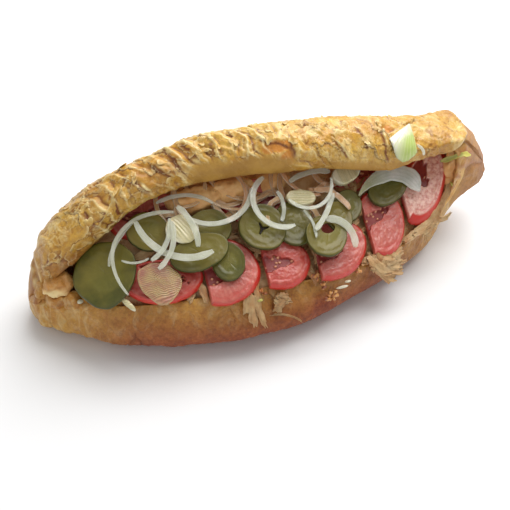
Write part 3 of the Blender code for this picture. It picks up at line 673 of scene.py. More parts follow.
def makeBread():
    # Sections lofted along the loaf, lifted along their normals by the crust's relief
    u = np.linspace(0, 1, loaf["stations"])
    s = between(u, 0.5 - 0.5 * np.cos(math.pi * u), 0.30)
    t = np.concatenate([i + np.arange(n) / n for i, n in enumerate(loaf["spans"])])
    smooth = loopAt(loafControls(s), t)
    smooth[..., 2] = np.maximum(smooth[..., 2], 0)
    out = normals(smooth)
    if (out[..., 2] * (smooth[..., 2] - smooth[..., 2].mean(1, keepdims=True))).sum() < 0:
        out = -out
    steps = np.linalg.norm(np.roll(smooth, -1, 1) - smooth, axis=-1)
    down = np.cumsum(steps, 1) - steps
    rimControl = 14
    rim = int(np.searchsorted(t, rimControl))
    up = np.abs(down[:, rim:rim + 1] - down)
    outside = (t <= rimControl)[None, :]
    height, edge, crack, blister, skin, peeled = crustRelief(smooth, up, down)
    inner = rise(rimControl + 0.1, rimControl + 0.8, t)[None, :] * fall(25.5, 26, t)[None, :]
    shut = mouthShut(s)[:, None]
    ragged = 0.5 * grain(smooth, 6, 60) + 0.3 * grain(smooth, 2.5, 61)
    folded = 1.1 * crinkles(smooth, smooth[..., 0], smooth[..., 2], 8, 64)
    height = between(height * outside, between(ragged, folded, shut), inner)
    ends = rise(0, 4, np.minimum(np.arange(len(s)), np.arange(len(s))[::-1]))[:, None]
    bread = smooth + out * (height * ends)[..., None]
    bread[..., 2] = np.maximum(bread[..., 2], 0)
    least, more, level = browning["shut"]
    toast = between(baked(smooth, up, down, blister, skin), least + more * rise(*level, folded),
                    inner * shut)
    finish = breadFinish()
    addPiece("bread", bread, finish, ["bread"],
             {"edge": edge * outside, "crack": crack * outside, "toast": toast, "peeled": peeled * outside,
              "crumb": inner * (1 - 0.85 * shut), "skin": skin})
    return {"points": bread, "smooth": smooth, "normals": out, "up": up, "finish": finish, "rim": rim}


def onCrust(x, up, lift, surface="points"):
    # Points on the flap: x and the distance up from the rim are looked up in the loaf's net, blended
    # between its four nearest points, and lifted along the normal
    points, rim = bread[surface], bread["rim"]
    top = int(np.searchsorted(-bread["up"][len(points) // 2, :rim], -70))
    across = points[:, (rim + top) // 2, 0]
    k = np.clip(np.interp(x, across, np.arange(len(across))), 0, len(across) - 1.001)
    row = bread["up"][int(k.mean())]
    i = np.interp(up, row[top:rim + 1][::-1], np.arange(top, rim + 1)[::-1])
    i = np.clip(i, 0, points.shape[1] - 2)
    k0, i0 = k.astype(int), i.astype(int)
    f, g = (k - k0)[..., None], (i - i0)[..., None]

    def blend(net):
        near = between(net[k0, i0], net[k0 + 1, i0], f)
        far = between(net[k0, i0 + 1], net[k0 + 1, i0 + 1], f)
        return between(near, far, g)
    return blend(points) + blend(bread["normals"]) * np.asarray(lift)[..., None]


# Torn flakes that stand off the flap: how many, where they lie, their sizes and how far they curl
flake = {
    "count": 42, "x": (-144, 128), "up": (8, 46), "size": (1.8, 4.6), "thickness": 0.3, "curl": 0.9,
    "around": 20, "keepOff": ((-56, 26), 20), "seed": 8,      # none on the smooth strip along the rim
    # a few broad ones, at (x, up, size)
    "broad": [(41.9, 25.6, 5.0), (69, 34, 3.6), (-5, 29, 4.6), (5, 30, 5.0), (11, 26, 3.6), (-47, 30, 4.0),
              (-86, 24, 4.2), (-118, 20, 3.8)],
}


def makeFlakes():
    # Each flake is a thin ragged disc laid on the crust; one side lifts with the square of the distance
    rng = np.random.default_rng(flake["seed"])
    angle = turns(flake["around"])
    shares = np.array([0.05, 0.5, 0.85, 1.0, 1.0, 0.85, 0.5, 0.05])[:, None]
    heights = np.array([0, 0, 0, 0.25, 0.75, 1, 1, 1])[:, None] * flake["thickness"]
    (left, right), clear = flake["keepOff"]
    flakes, edges = [], []
    for number in range(flake["count"] + len(flake["broad"])):
        x0, up0 = rng.uniform(*flake["x"]), rng.uniform(*flake["up"])
        if left < x0 < right and up0 < clear:
            up0 += clear
        size, lifted = rng.uniform(*flake["size"]), rng.uniform(0, 2 * math.pi)
        stretch = rng.uniform(0.5, 0.9)
        if number >= flake["count"]:
            x0, up0, size = flake["broad"][number - flake["count"]]
        ragged = 1 + 0.35 * (scatter(np.arange(flake["around"]), number, 7) - 0.5)
        ragged = ragged + 0.25 * np.sin(3 * angle + number)
        a, b = shares * ragged * size * np.cos(angle), shares * ragged * size * stretch * np.sin(angle)
        turn = rng.uniform(0, math.pi)
        a, b = a * math.cos(turn) - b * math.sin(turn), a * math.sin(turn) + b * math.cos(turn)
        far = np.clip((a * math.cos(lifted) + b * math.sin(lifted)) / size + 0.3, 0, 2)
        lift = heights - 0.25 + flake["curl"] * rng.uniform(0.4, 1.3) * far ** 2
        flakes.append(onCrust(x0 + a, np.clip(up0 + b, 0.5, 60), lift))
        # lighter towards the lifted side and its rim: partly paler torn crust, partly painted highlight
        edges.append(np.clip(rise(0.7, 1.0, shares) * rise(0.5, 1.0, far) + 0.25 * far, 0, 1))
    addPiece("crust_flakes", np.array(flakes), bread["finish"], (),
             {"edge": np.array(edges) * 0.6, "crack": 0, "toast": 0.1, "crumb": 0, "skin": 0})


print("baking the loaf")
bread = makeBread()
makeFlakes()

# The filling is laid on a slope that climbs from the lower lip to the back of the loaf
filling = {"slope": math.radians(28), "lipRadius": 16.0, "steepest": math.radians(55)}


def onFilling(x, s, lift):
    # Points on the filling: s mm up the slope from the lower lip at x, lift mm off it.
    # Past the lip (s < 0) the slope bends down over the crust, until it is at its steepest.
    x, s, lift = np.broadcast_arrays(*(np.asarray(q, float) for q in (x, s, lift)))
    slope, radius, steepest = filling["slope"], filling["lipRadius"], filling["steepest"]
    over, up = np.maximum(-s, 0), np.maximum(s, 0)
    bend = np.minimum(slope + over / radius, steepest)
    straight = np.maximum(over - (steepest - slope) * radius, 0)
    y = (along(x, loaf["lip"]) + up * math.cos(slope) - straight * math.cos(steepest)
         - radius * (np.sin(bend) - math.sin(slope)) - lift * np.sin(bend))
    z = (along(x, loaf["lipHeight"]) + 2 + up * math.sin(slope) - straight * math.sin(steepest)
         - radius * (math.cos(slope) - np.cos(bend)) + lift * np.cos(bend))
    return np.stack([x, y, z], -1)


def slab(kind, seed, centre, size, turn, cutAt=None, flare=0.0):
    # A slice as rows from the middle of its underside, out round its edge, to the middle of its top.
    # The outline is an ellipse with a little noise, cut straight at x = cutAt, and the side leans in
    # by flare towards the top. Gives x, s, height, share (0 in the middle to 1 at the edge), top (1 on
    # the upper side), the distance to the edge, and how far the side leans there.
    halfLength, halfWidth, thickness = size
    (topRows, around), wobble = kind["net"], kind["wobble"]
    rounding = min(kind["rounding"], thickness / 2)
    angle = turns(around)
    theta = angle - math.radians(turn)
    radius = 1 / np.hypot(np.cos(theta) / halfLength, np.sin(theta) / halfWidth)
    outline = np.stack([np.cos(angle), np.sin(angle), 0 * angle], -1) * 1.6
    uneven = grain(outline, 1.0, seed + 70) + 0.4 * grain(outline, 0.35, seed + 71)
    radius = radius * (1 + wobble * uneven)
    lean = flare + 0 * angle
    if cutAt is not None:
        facing = np.cos(angle) * np.sign(cutAt - centre[0])
        flat = np.where(facing > 1e-3, abs(cutAt - centre[0]) / np.maximum(facing, 1e-3), 1e9)
        lean = np.where(flat < radius, 0.15 * flare, lean)
        radius = np.minimum(radius, flat)
    bend = np.linspace(-90, 90, 11) * math.pi / 180
    inset = (rounding * (1 - np.cos(bend)))[:, None] + lean * (0.5 + 0.5 * np.sin(bend))[:, None]
    under = np.array([0.03, 0.35, 0.65, 0.85])
    over = 1 - np.linspace(0, 1, topRows) ** 0.9
    over = np.maximum(over[1:], 0.015)
    edgeShare = 1 - inset / radius
    share = np.concatenate([under[:, None] * edgeShare[:1], edgeShare, over[:, None] * edgeShare[-1:]])
    high = np.clip(rounding + rounding * np.sin(bend), 0, 2 * rounding)
    high = high / (2 * rounding) * thickness
    height = np.concatenate([0 * under, high, 0 * over + thickness])[:, None] + 0 * share
    top = np.concatenate([0 * under, rise(-0.2, 1.0, np.sin(bend)), 0 * over + 1])[:, None] + 0 * share
    x = centre[0] + share * radius * np.cos(angle)
    s = centre[1] + share * radius * np.sin(angle)
    return x, s, height, share, top, (1 - share) * radius, lean + 0 * share


def spread(x, s, height, centre, tilt=(0, 0)):
    # Lays a slab on the filling, its underside at the centre's lift plus the tilt
    return onFilling(x, s, centre[2] + height + tilt[0] * (x - centre[0]) + tilt[1] * (s - centre[1]))


def wedgeAt(x, s, wedge, seed):
    # 1 inside a wedge (point (x, s), mouth (x, s), half width at the mouth) with ragged sides, 0 out
    (px, ps), (mx, ms), half = wedge
    length = math.hypot(mx - px, ms - ps)
    c, d = (mx - px) / length, (ms - ps) / length
    forward = (x - px) * c + (s - ps) * d
    flat = flatSpot(x, s)
    ragged = 1.5 * grain(flat, 3.6, seed) + 0.7 * grain(flat, 1.6, seed)
    sideways = np.abs((s - ps) * c - (x - px) * d) + ragged
    wide = half * np.clip((forward + 1.2 * grain(flat, 2.5, seed)) / length, 0, 1.3) ** 0.6
    return fall(-0.6, 0.5, sideways - wide) * rise(-0.2, 0.8, forward)


# Tomato slices: centre (x, s, lift), size (half length, half width, thickness), turn, the place along x
# where it is cut straight, how far its skin leans, how pale it is, and its seed pockets: a wedge with its
# point (x, s), the middle of its open end (x, s), and half the width there. The paleness is partly painted
# light: pale flecks as painted glints, strongest on the brightly lit tomato_7.
tomato = {
    "slices": [
        ("tomato_1", (-83, 56, -2.5), (25, 15, 5.0), 12, None, 1.5, 0.1, [((-98, 55), (-80, 55), 5)]),
        ("tomato_2", (-81, 12.5, 0.0), (25, 15, 5.6), 0, None, 2.0, 0.0, [((-66, 8), (-82, 20), 5)]),
        ("tomato_3", (-46, 13, 0.0), (26, 22.5, 5.8), 0, -56, 2.6,
         0.15, [((-31, 11), (-58, 9), 6.5), ((-36, 16), (-44, 30), 6)]),
        ("tomato_4", (-9, 12, 0.0), (21.5, 17.2, 6.0), 0, -18.7, 2.6,
         0.0, [((0.5, 10.8), (-20, 12.5), 6.2)]),
        ("tomato_5", (28, 14, 0.0), (27, 20, 6.0), 0, 15.5, 2.8, 0.1, [((34, 10.5), (15, 10.5), 5.0)]),
        ("tomato_6", (67, 20, 0.0), (20.5, 24, 6.0), 6, 56, 2.6,
         0.15, [((76, 26.5), (57, 23), 5.5), ((70, 30), (64, 46), 5)]),
        ("tomato_7", (106, 23.5, 0.0), (21.5, 23.5, 6.0), -15, 88, 5.0,
         0.9, [((108, 20), (104, 46), 8.0)]),
        ("tomato_8", (60, 57, -1.0), (19, 10.5, 5.0), 0, None, 1.5, 0.1, [((52, 57), (66, 57), 4)]),
        ("tomato_9", (-15, 56, -1.0), (22, 15, 5.0), 0, None, 1.5, 0.1, [((-26, 55), (-8, 55), 5)]),
    ],
    "net": (52, 144), "rounding": 1.0, "wobble": 0.03,       # rows on top and points around
    "pocketDepth": 2.0, "pocketOpen": 9, "seedSize": 3.4, "seedHeight": 0.9,
    "fibre": 0.04, "fibres": 30, "wall": 3.0,                # the wall lies this far in from the edge
}


def tomatoFinish():
    # Wet pinkish-red flesh with pale flecks that are partly painted light and glints, dark jelly in the
    # pockets, cream seeds, bright red skin
    material, tree, shader = newFinish("tomato_flesh", Coat_Weight=0.25, Coat_Roughness=0.18,
                                       Subsurface_Weight=0.12, Subsurface_Scale=0.003,
                                       Subsurface_Radius=(1.0, 0.25, 0.15))
    spot = place(tree)
    mottle = noise(tree, spot, 210, 4, 0.6)
    blush = noise(tree, spot, 60, 2, 0.5)
    fine = noise(tree, spot, 900, 3, 0.6)
    speckle = ramp(tree, noise(tree, spot, 480, 3, 0.6), (0.35, 0.35), (0.6, 1.0))
    flesh = mix(tree, ramp(tree, blush, (0.35, 0.0), (0.65, 1.0)), tint(176, 62, 50), tint(190, 80, 66))
    colour = coats(tree, flesh,
                   (ramp(tree, mottle, (0.50, 0.0), (0.68, 0.3)), tint(218, 140, 120)),
                   (reading(tree, "vein"), tint(214, 134, 116)),
                   # pale flecks: partly the flesh's own paleness, partly painted light and glints
                   (sums(tree, "MULTIPLY", reading(tree, "pale"), speckle), tint(246, 204, 186)),
                   (reading(tree, "wall"), tint(196, 60, 52)), (reading(tree, "jelly"), tint(140, 44, 38)),
                   (reading(tree, "seed"), tint(226, 168, 130)), (reading(tree, "skin"), tint(204, 50, 38)))
    paint(tree, shader, colour, ramp(tree, fine, (0.3, 0.26), (0.7, 0.5)))
    bump(tree, shader, (mottle, 0.9, 0.5), (fine, 0.35, 0.6))
    return material


def makeTomatoes():
    # A slab whose top sinks into seed pockets, with seeds as small domes on the jelly, a slightly
    # sunk line inside the outer wall, and uneven flesh
    finish = tomatoFinish()
    for number, (name, centre, size, turn, cutAt, flare, pale, wedges) in enumerate(tomato["slices"]):
        x, s, height, share, top, inset, lean = slab(tomato, number, centre, size, turn, cutAt, flare)
        flat = flatSpot(x, s)
        jelly = 0 * x
        for k, wedge in enumerate(wedges):
            jelly = np.maximum(jelly, wedgeAt(x, s, wedge, 80 + number + k))
        nearCut = 0 if cutAt is None else fall(2, 5, np.abs(x - cutAt))     # pockets open at the cut
        jelly = jelly * top * rise(1.0, 2.5, inset - lean + tomato["pocketOpen"] * nearCut)
        near, _ = cells(x / tomato["seedSize"], s / tomato["seedSize"] * 1.3, 90 + number)
        seed = fall(0.14, 0.34, near[0]) * jelly * (near[3] > 0.55)
        angle = np.arctan2(s - centre[1], x - centre[0])
        fibre = np.sin(tomato["fibres"] * angle + 5 * grain(flat, 4, 91)) * rise(0.2, 0.5, share)
        fleshy = top * (1 - jelly)
        # paler flesh, partly painted light, strongest on tomato_7 and weaker along the front edge of each
        # slice
        bleached = pale * fleshy * (0.4 + 0.6 * rise(-20, -11, s - centre[1]))
        polar = np.stack([7 * np.cos(angle), 7 * np.sin(angle), 1.3 * share + 0 * angle], -1)
        vein = 0.32 * rise(0.1, 0.8, grain(polar, 0.9, 95 + number)) * fleshy
        wall = np.exp(-((inset - lean - tomato["wall"] - 0.6 * grain(flat, 5, 94)) / 0.5) ** 2) * fleshy
        uneven = tomato["fibre"] * fibre + 0.4 * grain(flat, 4.0, 92) + 0.2 * grain(flat, 1.5, 93)
        height = (height - tomato["pocketDepth"] * jelly + tomato["seedHeight"] * seed - 0.15 * wall
                  + fleshy * uneven)
        skin = np.maximum(fall(0.1, 0.9, inset - lean), fall(0.6, 0.95, top)) * (lean > 0.4 * flare)
        addPiece(name, spread(x, s, height, centre), finish, [name],
                 {"jelly": jelly * (1 - seed), "seed": seed, "skin": skin, "wall": 0.35 * wall,
                  "pale": bleached, "vein": vein})


# Pickle slices: centre (x, s, lift), size, turn, (lift per x, lift per s), and how yellow it is
pickle = {
    "slices": [
        ("pickle_1", (-114.5, 17.5, 5.8), (16.8, 23.5, 3.2), -34, (0.12, -0.12), 0.0),
        ("pickle_2", (-84, 43, 6.5), (13, 13, 3.3), 0, (0, 0), 0.8),
        ("pickle_3", (-57, 24, 10.2), (18.5, 11.5, 3.2), 12, (0, 0), 0.3),
        ("pickle_4", (-40.5, 16, 6.8), (10, 12.5, 3.2), -12, (0.1, 0), 0.1),
        ("pickle_5", (-15, 34, 10.2), (15, 15, 3.2), 0, (0, 0), 0.4),
        ("pickle_6", (6, 34, 6.5), (13, 15, 3.2), 0, (0, 0), 0.2),
        ("pickle_7", (23, 20, 13.6), (14, 13.5, 3.2), 0, (0, 0), 0.5),
        ("pickle_8", (45, 37, 6.5), (11, 11, 3.2), 0, (0, 0), 0.3),
        ("pickle_9", (36, 31, 10.1), (9, 11, 3.1), 20, (0, 0), 0.9),
        ("pickle_10", (79.5, 38.5, 6.5), (17.5, 12.5, 3.2), 0, (0, 0), 0.2),
        ("pickle_11", (-47, 39, 6.5), (14, 12.5, 3.2), 0, (0, 0), 0.5),
    ],
    "net": (30, 112), "rounding": 0.8, "wobble": 0.035,
    "ring": ("pickle_7", (4.8, 3.4), (2.2, 4.6)),      # its hole: half size, and how far off the middle
    # slits open in the middle of this one: middle, reach, bearings, half width, depth
    "star": ("pickle_5", (-15.8, 32.8), 4.4, (7, 101, 236), 0.95, 1.8),
    "dish": 0.5, "seams": 3, "seeds": 18,
}


def pickleFinish():
    # Olive green and wet: a dark skin, a paler ring under it, a glassy middle with faint seeds, and painted
    # shade in the slits of the star
    material, tree, shader = newFinish("pickled_cucumber", Coat_Weight=0.25, Coat_Roughness=0.12,
                                       Specular_IOR_Level=0.3, Subsurface_Weight=0.12,
                                       Subsurface_Scale=0.003, Subsurface_Radius=(0.6, 0.8, 0.2))
    spot = place(tree)
    mottle = noise(tree, spot, 130, 4, 0.6)
    fine = noise(tree, spot, 800, 3, 0.6)
    yellow = mix(tree, reading(tree, "ripe"), tint(70, 70, 20), tint(122, 102, 26))
    patch = noise(tree, place(tree), 34, 2, 0.5)
    colour = coats(tree, yellow,
                   (ramp(tree, mottle, (0.35, 0.0), (0.7, 1.0)), tint(98, 92, 30)),
                   (sums(tree, "MULTIPLY", reading(tree, "middle"), 0.35), tint(122, 118, 48)),
                   (sums(tree, "MULTIPLY", reading(tree, "seed"), 0.07), tint(150, 142, 84)),
                   (ramp(tree, patch, (0.44, 0.0), (0.62, 0.45)), tint(128, 114, 44)),
                   (ramp(tree, patch, (0.34, 0.6), (0.46, 0.0)), tint(70, 74, 26)),
                   # the dark skin, then painted shade in the star's slits
                   (reading(tree, "skin"), tint(70, 74, 28)), (reading(tree, "slit"), tint(46, 34, 18)))
    paint(tree, shader, colour, ramp(tree, fine, (0.3, 0.28), (0.7, 0.5)))
    bump(tree, shader, (mottle, 0.5, 0.4), (fine, 0.25, 0.4))
    return material


def makePickles():
    # A slab with a slightly dished top, three faint seams with seeds between them, and a wavy skin
    finish = pickleFinish()
    starName, starAt, starReach, bearings, slitWidth, slitDepth = pickle["star"]
    ringName, hole, offset = pickle["ring"]
    for number, (name, centre, size, turn, tilt, ripe) in enumerate(pickle["slices"]):
        x, s, height, share, top, inset, _ = slab(pickle, 100 + number, centre, size, turn)
        flat = flatSpot(x, s)
        angle = np.arctan2((s - centre[1]) / size[1], (x - centre[0]) / size[0]) + number
        seam = np.abs(np.sin(pickle["seams"] * angle / 2))
        middle = fall(0.45, 0.72, share + 0.06 * grain(flat, 4, 110))
        seedRing = rise(0.22, 0.32, share) * fall(0.5, 0.6, share)
        seed = rise(0.55, 0.95, np.sin(pickle["seeds"] * angle + 2 * grain(flat, 5, 111)))
        seed = seedRing * seed * top * rise(0.2, 0.5, seam)
        skin = np.maximum(fall(0.2, 1.0, inset), (1 - top) * (inset < 3))
        height = height + top * (0.25 * rise(0.75, 0.95, share) - pickle["dish"] * middle
                                 + 0.04 * seed + 0.15 * grain(flat, 7, 112) + 0.08 * grain(flat, 1.8, 113)
                                 - 0.1 * fall(0.05, 0.25, seam) * middle)
        height = height + 0.6 * grain(flat, 19, 114 + number)
        slit = 0 * x
        if name == starName:
            u, v = x - starAt[0], s - starAt[1]
            for bearing in np.radians(bearings):
                forward = u * np.cos(bearing) + v * np.sin(bearing)
                sideways = np.abs(v * np.cos(bearing) - u * np.sin(bearing))
                taper = np.sqrt(np.clip(1 - forward / starReach, 0, 1))
                wide = slitWidth * taper * rise(-0.9, -0.1, forward)
                slit = np.maximum(slit, fall(-0.15, 0.35, sideways - wide) * (wide > 0.05) * top)
            # the slits sink, and their dark colour is painted shade
            height = height - slitDepth * slit
        if name == ringName:
            # every spoke of the slab now starts at the hole's outline instead of the middle
            angle = np.arctan2(s - centre[1], x - centre[0])
            inner = 1 / np.hypot(np.cos(angle) / hole[0], np.sin(angle) / hole[1])
            inner = inner * (1 + 0.06 * grain(flat, 5, 115))
            radius = np.hypot(x - centre[0], s - centre[1]) / np.maximum(share, 1e-3)
            x, s = (between(centre[k] + offset[k] + inner * way, centre[k] + radius * way, share)
                    for k, way in enumerate((np.cos(angle), np.sin(angle))))
        addPiece(name, spread(x, s, height, centre, tilt), finish, [name],
                 {"middle": middle, "seed": seed, "skin": skin, "slit": slit, "ripe": ripe},
                 ring=name == ringName)


# Onion strips: (centre x, centre s, radius), (start, end) in degrees, lift, width. The heap under the
# flap is scattered over ranges of x, s, lift, radius, length of the arc in degrees, and width.
strip = {
    "laid": [
        ((-76, 19, 33), (74, 212), 15.2, 2.6), ((-56, 3, 58), (128, 163), 13.6, 2.8),
        ((-96, 38, 16), (-118, -58), 13.0, 1.8), ((-60, 51, 31), (187, 290), 16.8, 5.4),
        ((-100, 47, 29), (-2, -63), 18.6, 3.6), ((-101, 41, 31), (4, -57), 20.4, 3.6),
        ((-86, 33, 29), (43, -15), 18.6, 4.4), ((-42, 65, 26), (226, 346), 15.2, 4.0),
        ((-63, 31, 31), (114, 46), 12.0, 2.8), ((0, 48, 18), (115, 283), 17.0, 4.2),
        ((-19, 47, 20), (24, -36), 14.0, 3.2), ((-31, 84, 76), (-31, -52), 19.0, 4.4),
        ((-6, 26, 22), (35, -16), 17.2, 2.2), ((23, 13, 17), (84, -19), 17.2, 5.6),
        ((18, 55, 17), (210, 358), 20.8, 3.0), ((25, 30, 34), (118, 67), 13.0, 4.0),
    ],
    "thickness": 1.2, "narrowing": 0.86, "net": (64, 16), "sway": 0.5,
    "heaped": 26, "heapX": (-76, 40), "heapS": (44, 62), "heapLift": (4, 14), "heapRadius": (9, 26),
    "heapArc": (25, 75), "heapWidth": (2.2, 4.4), "heapNet": (30, 12), "heapSway": 1.5, "seed": 3,
}


def stripNet(arcs, angles, lifts, widths, thickness, net, sway, seed, tips=(0.55, 7)):
    # Strips cut from onion rings, all at once: a bar with a hollowed top, its section an ellipse
    # squared off a little, carried along an arc on the filling, narrower at its two cut ends
    rows, around = net
    arcs, angles, lifts, widths = (np.asarray(q, float) for q in (arcs, angles, lifts, widths))
    u = np.linspace(0, 1, rows)[None, :, None]
    v = turns(around)[None, None, :]
    c, d = np.cos(v), np.sin(v)
    side, high = blunted(c, 0.7), blunted(d, 0.8)
    fromEnd = np.minimum(1, np.minimum(u * tips[1], (1 - u) * 7))
    ends = between(tips[0], 1, np.sin(math.pi / 2 * fromEnd))
    number = np.arange(len(arcs))[:, None, None]
    along0 = np.stack(np.broadcast_arrays(u * 5 + 0 * v, number * 7.3 + 0 * v, 0 * v + 0 * u), -1)
    wander = grain(along0, 1.0, seed)
    half = widths[:, None, None] / 2 * ends * (1 + 0.12 * grain(along0, 0.6, seed + 1))
    angle = np.radians(between(angles[:, :1, None], angles[:, 1:, None], u))
    reach = arcs[:, 2, None, None] + side * half + 0.5 * sway * wander
    hollowed = 0.22 * thickness * side ** 2 * (high > 0)
    bodyHeight = 0.5 * thickness * (1 + high) + hollowed + 0.14 * side * half
    lift = lifts[:, None, None] + sway * wander + bodyHeight
    x = arcs[:, 0, None, None] + reach * np.cos(angle)
    s = arcs[:, 1, None, None] + reach * np.sin(angle)
    fields = {"lengthwise": u + 0 * x, "side": side + 0 * x, "own": scatter(number, 7, seed) + 0 * x}
    return onFilling(x, s, lift), fields


def onionFinish(name, pale, green, shade, clear=0.0):
    # Glassy onion: pale with green-grey streaks along the cut, brighter at its two edges, wet and a
    # little clear
    material, tree, shader = newFinish(name, Coat_Weight=0.6, Coat_Roughness=0.08, Alpha=1 - clear,
                                       Subsurface_Weight=0.2, Subsurface_Scale=0.004,
                                       Subsurface_Radius=(1.0, 1.0, 0.8))
    spot = place(tree)
    mottle = noise(tree, spot, 150, 3, 0.5)
    fine = noise(tree, spot, 900, 3, 0.6)
    side = reading(tree, "side")
    rim = sums(tree, "ABSOLUTE", side)
    streak = sums(tree, "SINE", sums(tree, "MULTIPLY", side, 15.0))
    colour = coats(tree, pale,
                   (ramp(tree, mottle, (0.35, 0.0), (0.68, 1.0)), green), (reading(tree, "own"), shade),
                   (ramp(tree, rim, (0.60, 0.0), (0.95, 0.5)), tint(240, 238, 222)),
                   (ramp(tree, streak, (0.5, 0.0), (1.0, 0.22)), tint(150, 152, 112)))
    paint(tree, shader, colour, ramp(tree, fine, (0.3, 0.15), (0.7, 0.35)))
    bump(tree, shader, (streak, 0.12, 0.35), (fine, 0.15, 0.3))
    return material


def makeStrips():
    # The strips laid one by one on top, then a heap at random arcs that gets lower towards the back
    finish = onionFinish("onion_strip", tint(232, 236, 222), tint(206, 212, 192), tint(204, 202, 176), 0.52)
    arcs, angles, lifts, widths = zip(*strip["laid"])
    points, fields = stripNet(arcs, angles, lifts, strip["narrowing"] * np.array(widths),
                              strip["thickness"], strip["net"], strip["sway"], 120)
    fields["own"] = 0.5 * fields["own"]
    addPiece("onion_strips", points, finish,
             [f"onion_strip_{i + 1}" for i in range(len(strip["laid"]))], fields)
    rng = np.random.default_rng(strip["seed"])
    count = strip["heaped"]
    x = rng.uniform(*strip["heapX"], count)
    s = rng.uniform(*strip["heapS"], count)
    radius = rng.uniform(*strip["heapRadius"], count)
    turn = rng.uniform(0, 360, count)
    start = turn - rng.uniform(*strip["heapArc"], count)
    away = np.radians(turn)
    arcs = np.stack([x - radius * np.cos(away), s - radius * np.sin(away), radius], 1)
    angles = np.stack([start, 2 * turn - start], 1)
    lifts = rng.uniform(*strip["heapLift"], count) * (1 - 0.4 * rise(54, 70, s))
    points, fields = stripNet(arcs, angles, lifts, rng.uniform(*strip["heapWidth"], count),
                              strip["thickness"], strip["heapNet"], strip["heapSway"], 130)
    shaded = onionFinish("onion_in_the_shade", tint(232, 196, 150), tint(216, 174, 122),
                         tint(226, 170, 128), 0.35)
    addPiece("heaped_onion", points, shaded, (), fields)


# Thicker cuts of onion: centre (x, s, lift), size, turn, (lift per x, lift per s), how many ribs,
# their turn and their height. The layer is one wide strip, given as stripNet takes it.
onion = {
    "cuts": [
        ("onion_cap", (-84, 9.5, 10.6), (13, 12.5, 1.6), 0, (-0.16, 0), 24, -14, 0.22),
        ("onion_chunk", (50, 57.5, 9.0), (11.5, 7, 5.5), 8, (0, 0), 6, 80, 0.12),
        ("onion_heart", (14, 48.5, 10.4), (10, 5.4, 4.5), -12, (0, 0), 6, 10, 0.20),
        ("onion_root", (-105, -1.2, 6.2), (4.8, 1.6, 2.4), -38, (0, 0), 4, 0, 0.15),
        ("onion_disc", (-64, 40, 13.7), (10, 9.5, 1.2), 0, (0, 0), 9, 60, 0.15),
    ],
    "net": (22, 80), "rounding": 0.8, "wobble": 0.06,
    "layer": (((72, 19.8, 27),), ((131, 3),), (10.8,), (10.0,), 1.8, (60, 28), 0.4, 160, (0.12, 2.2)),
}


def makeOnions():
    # Slabs with cosine ribs across them, thin ones domed a little, and the wide layer as a strip
    finish = onionFinish("onion_cut", tint(220, 210, 168), tint(198, 192, 140), tint(210, 194, 150))
    ribbed, tree, shader = newFinish("onion_skin_side", Coat_Weight=0.2, Coat_Roughness=0.2,
                                     Subsurface_Weight=0.1, Subsurface_Scale=0.003)
    patch = noise(tree, place(tree), 110, 3, 0.5)
    rib = sums(tree, "SINE", sums(tree, "MULTIPLY", reading(tree, "side"), 22.0))
    colour = coats(tree, tint(190, 160, 108),
                   (ramp(tree, patch, (0.38, 0.0), (0.62, 1.0)), tint(172, 116, 96)),
                   (ramp(tree, rib, (0.2, 0.0), (0.9, 0.55)), tint(128, 76, 56)),
                   (reading(tree, "lengthwise"), tint(206, 184, 130)))
    paint(tree, shader, colour, 0.35)
    bump(tree, shader, (rib, 0.25, 0.6))
    for number, (name, centre, size, turn, tilt, ribs, ribTurn, ribHeight) in enumerate(onion["cuts"]):
        x, s, height, share, top, _, _ = slab(onion, 140 + number, centre, size, turn)
        across = math.radians(ribTurn)
        u = (x - centre[0]) * math.sin(across) + (s - centre[1]) * math.cos(across)
        side = u / size[1] + 0.05 * grain(flatSpot(x, s), 3, 150)
        dome = (1 - share ** 2) * 0.12 * size[0] * (size[2] < 2.5)
        height = height + ribHeight * np.cos(ribs * side * math.pi) * top + dome
        addPiece(name, spread(x, s, height, centre, tilt), ribbed if name == "onion_cap" else finish,
                 [name],
                 {"side": side * ribs / 7.5, "own": 0.3, "lengthwise": 0.6 * rise(0.9, 1, share)})
    points, fields = stripNet(*onion["layer"])
    glassy = onionFinish("glassy_onion", tint(234, 238, 232), tint(208, 216, 206),
                         tint(176, 176, 122), 0.35)
    fields["own"] = 0.85 * fall(0.1, 0.55, fields["lengthwise"])     # greener towards its left end
    addPiece("onion_layer", points, glassy, ["onion_layer"], fields)


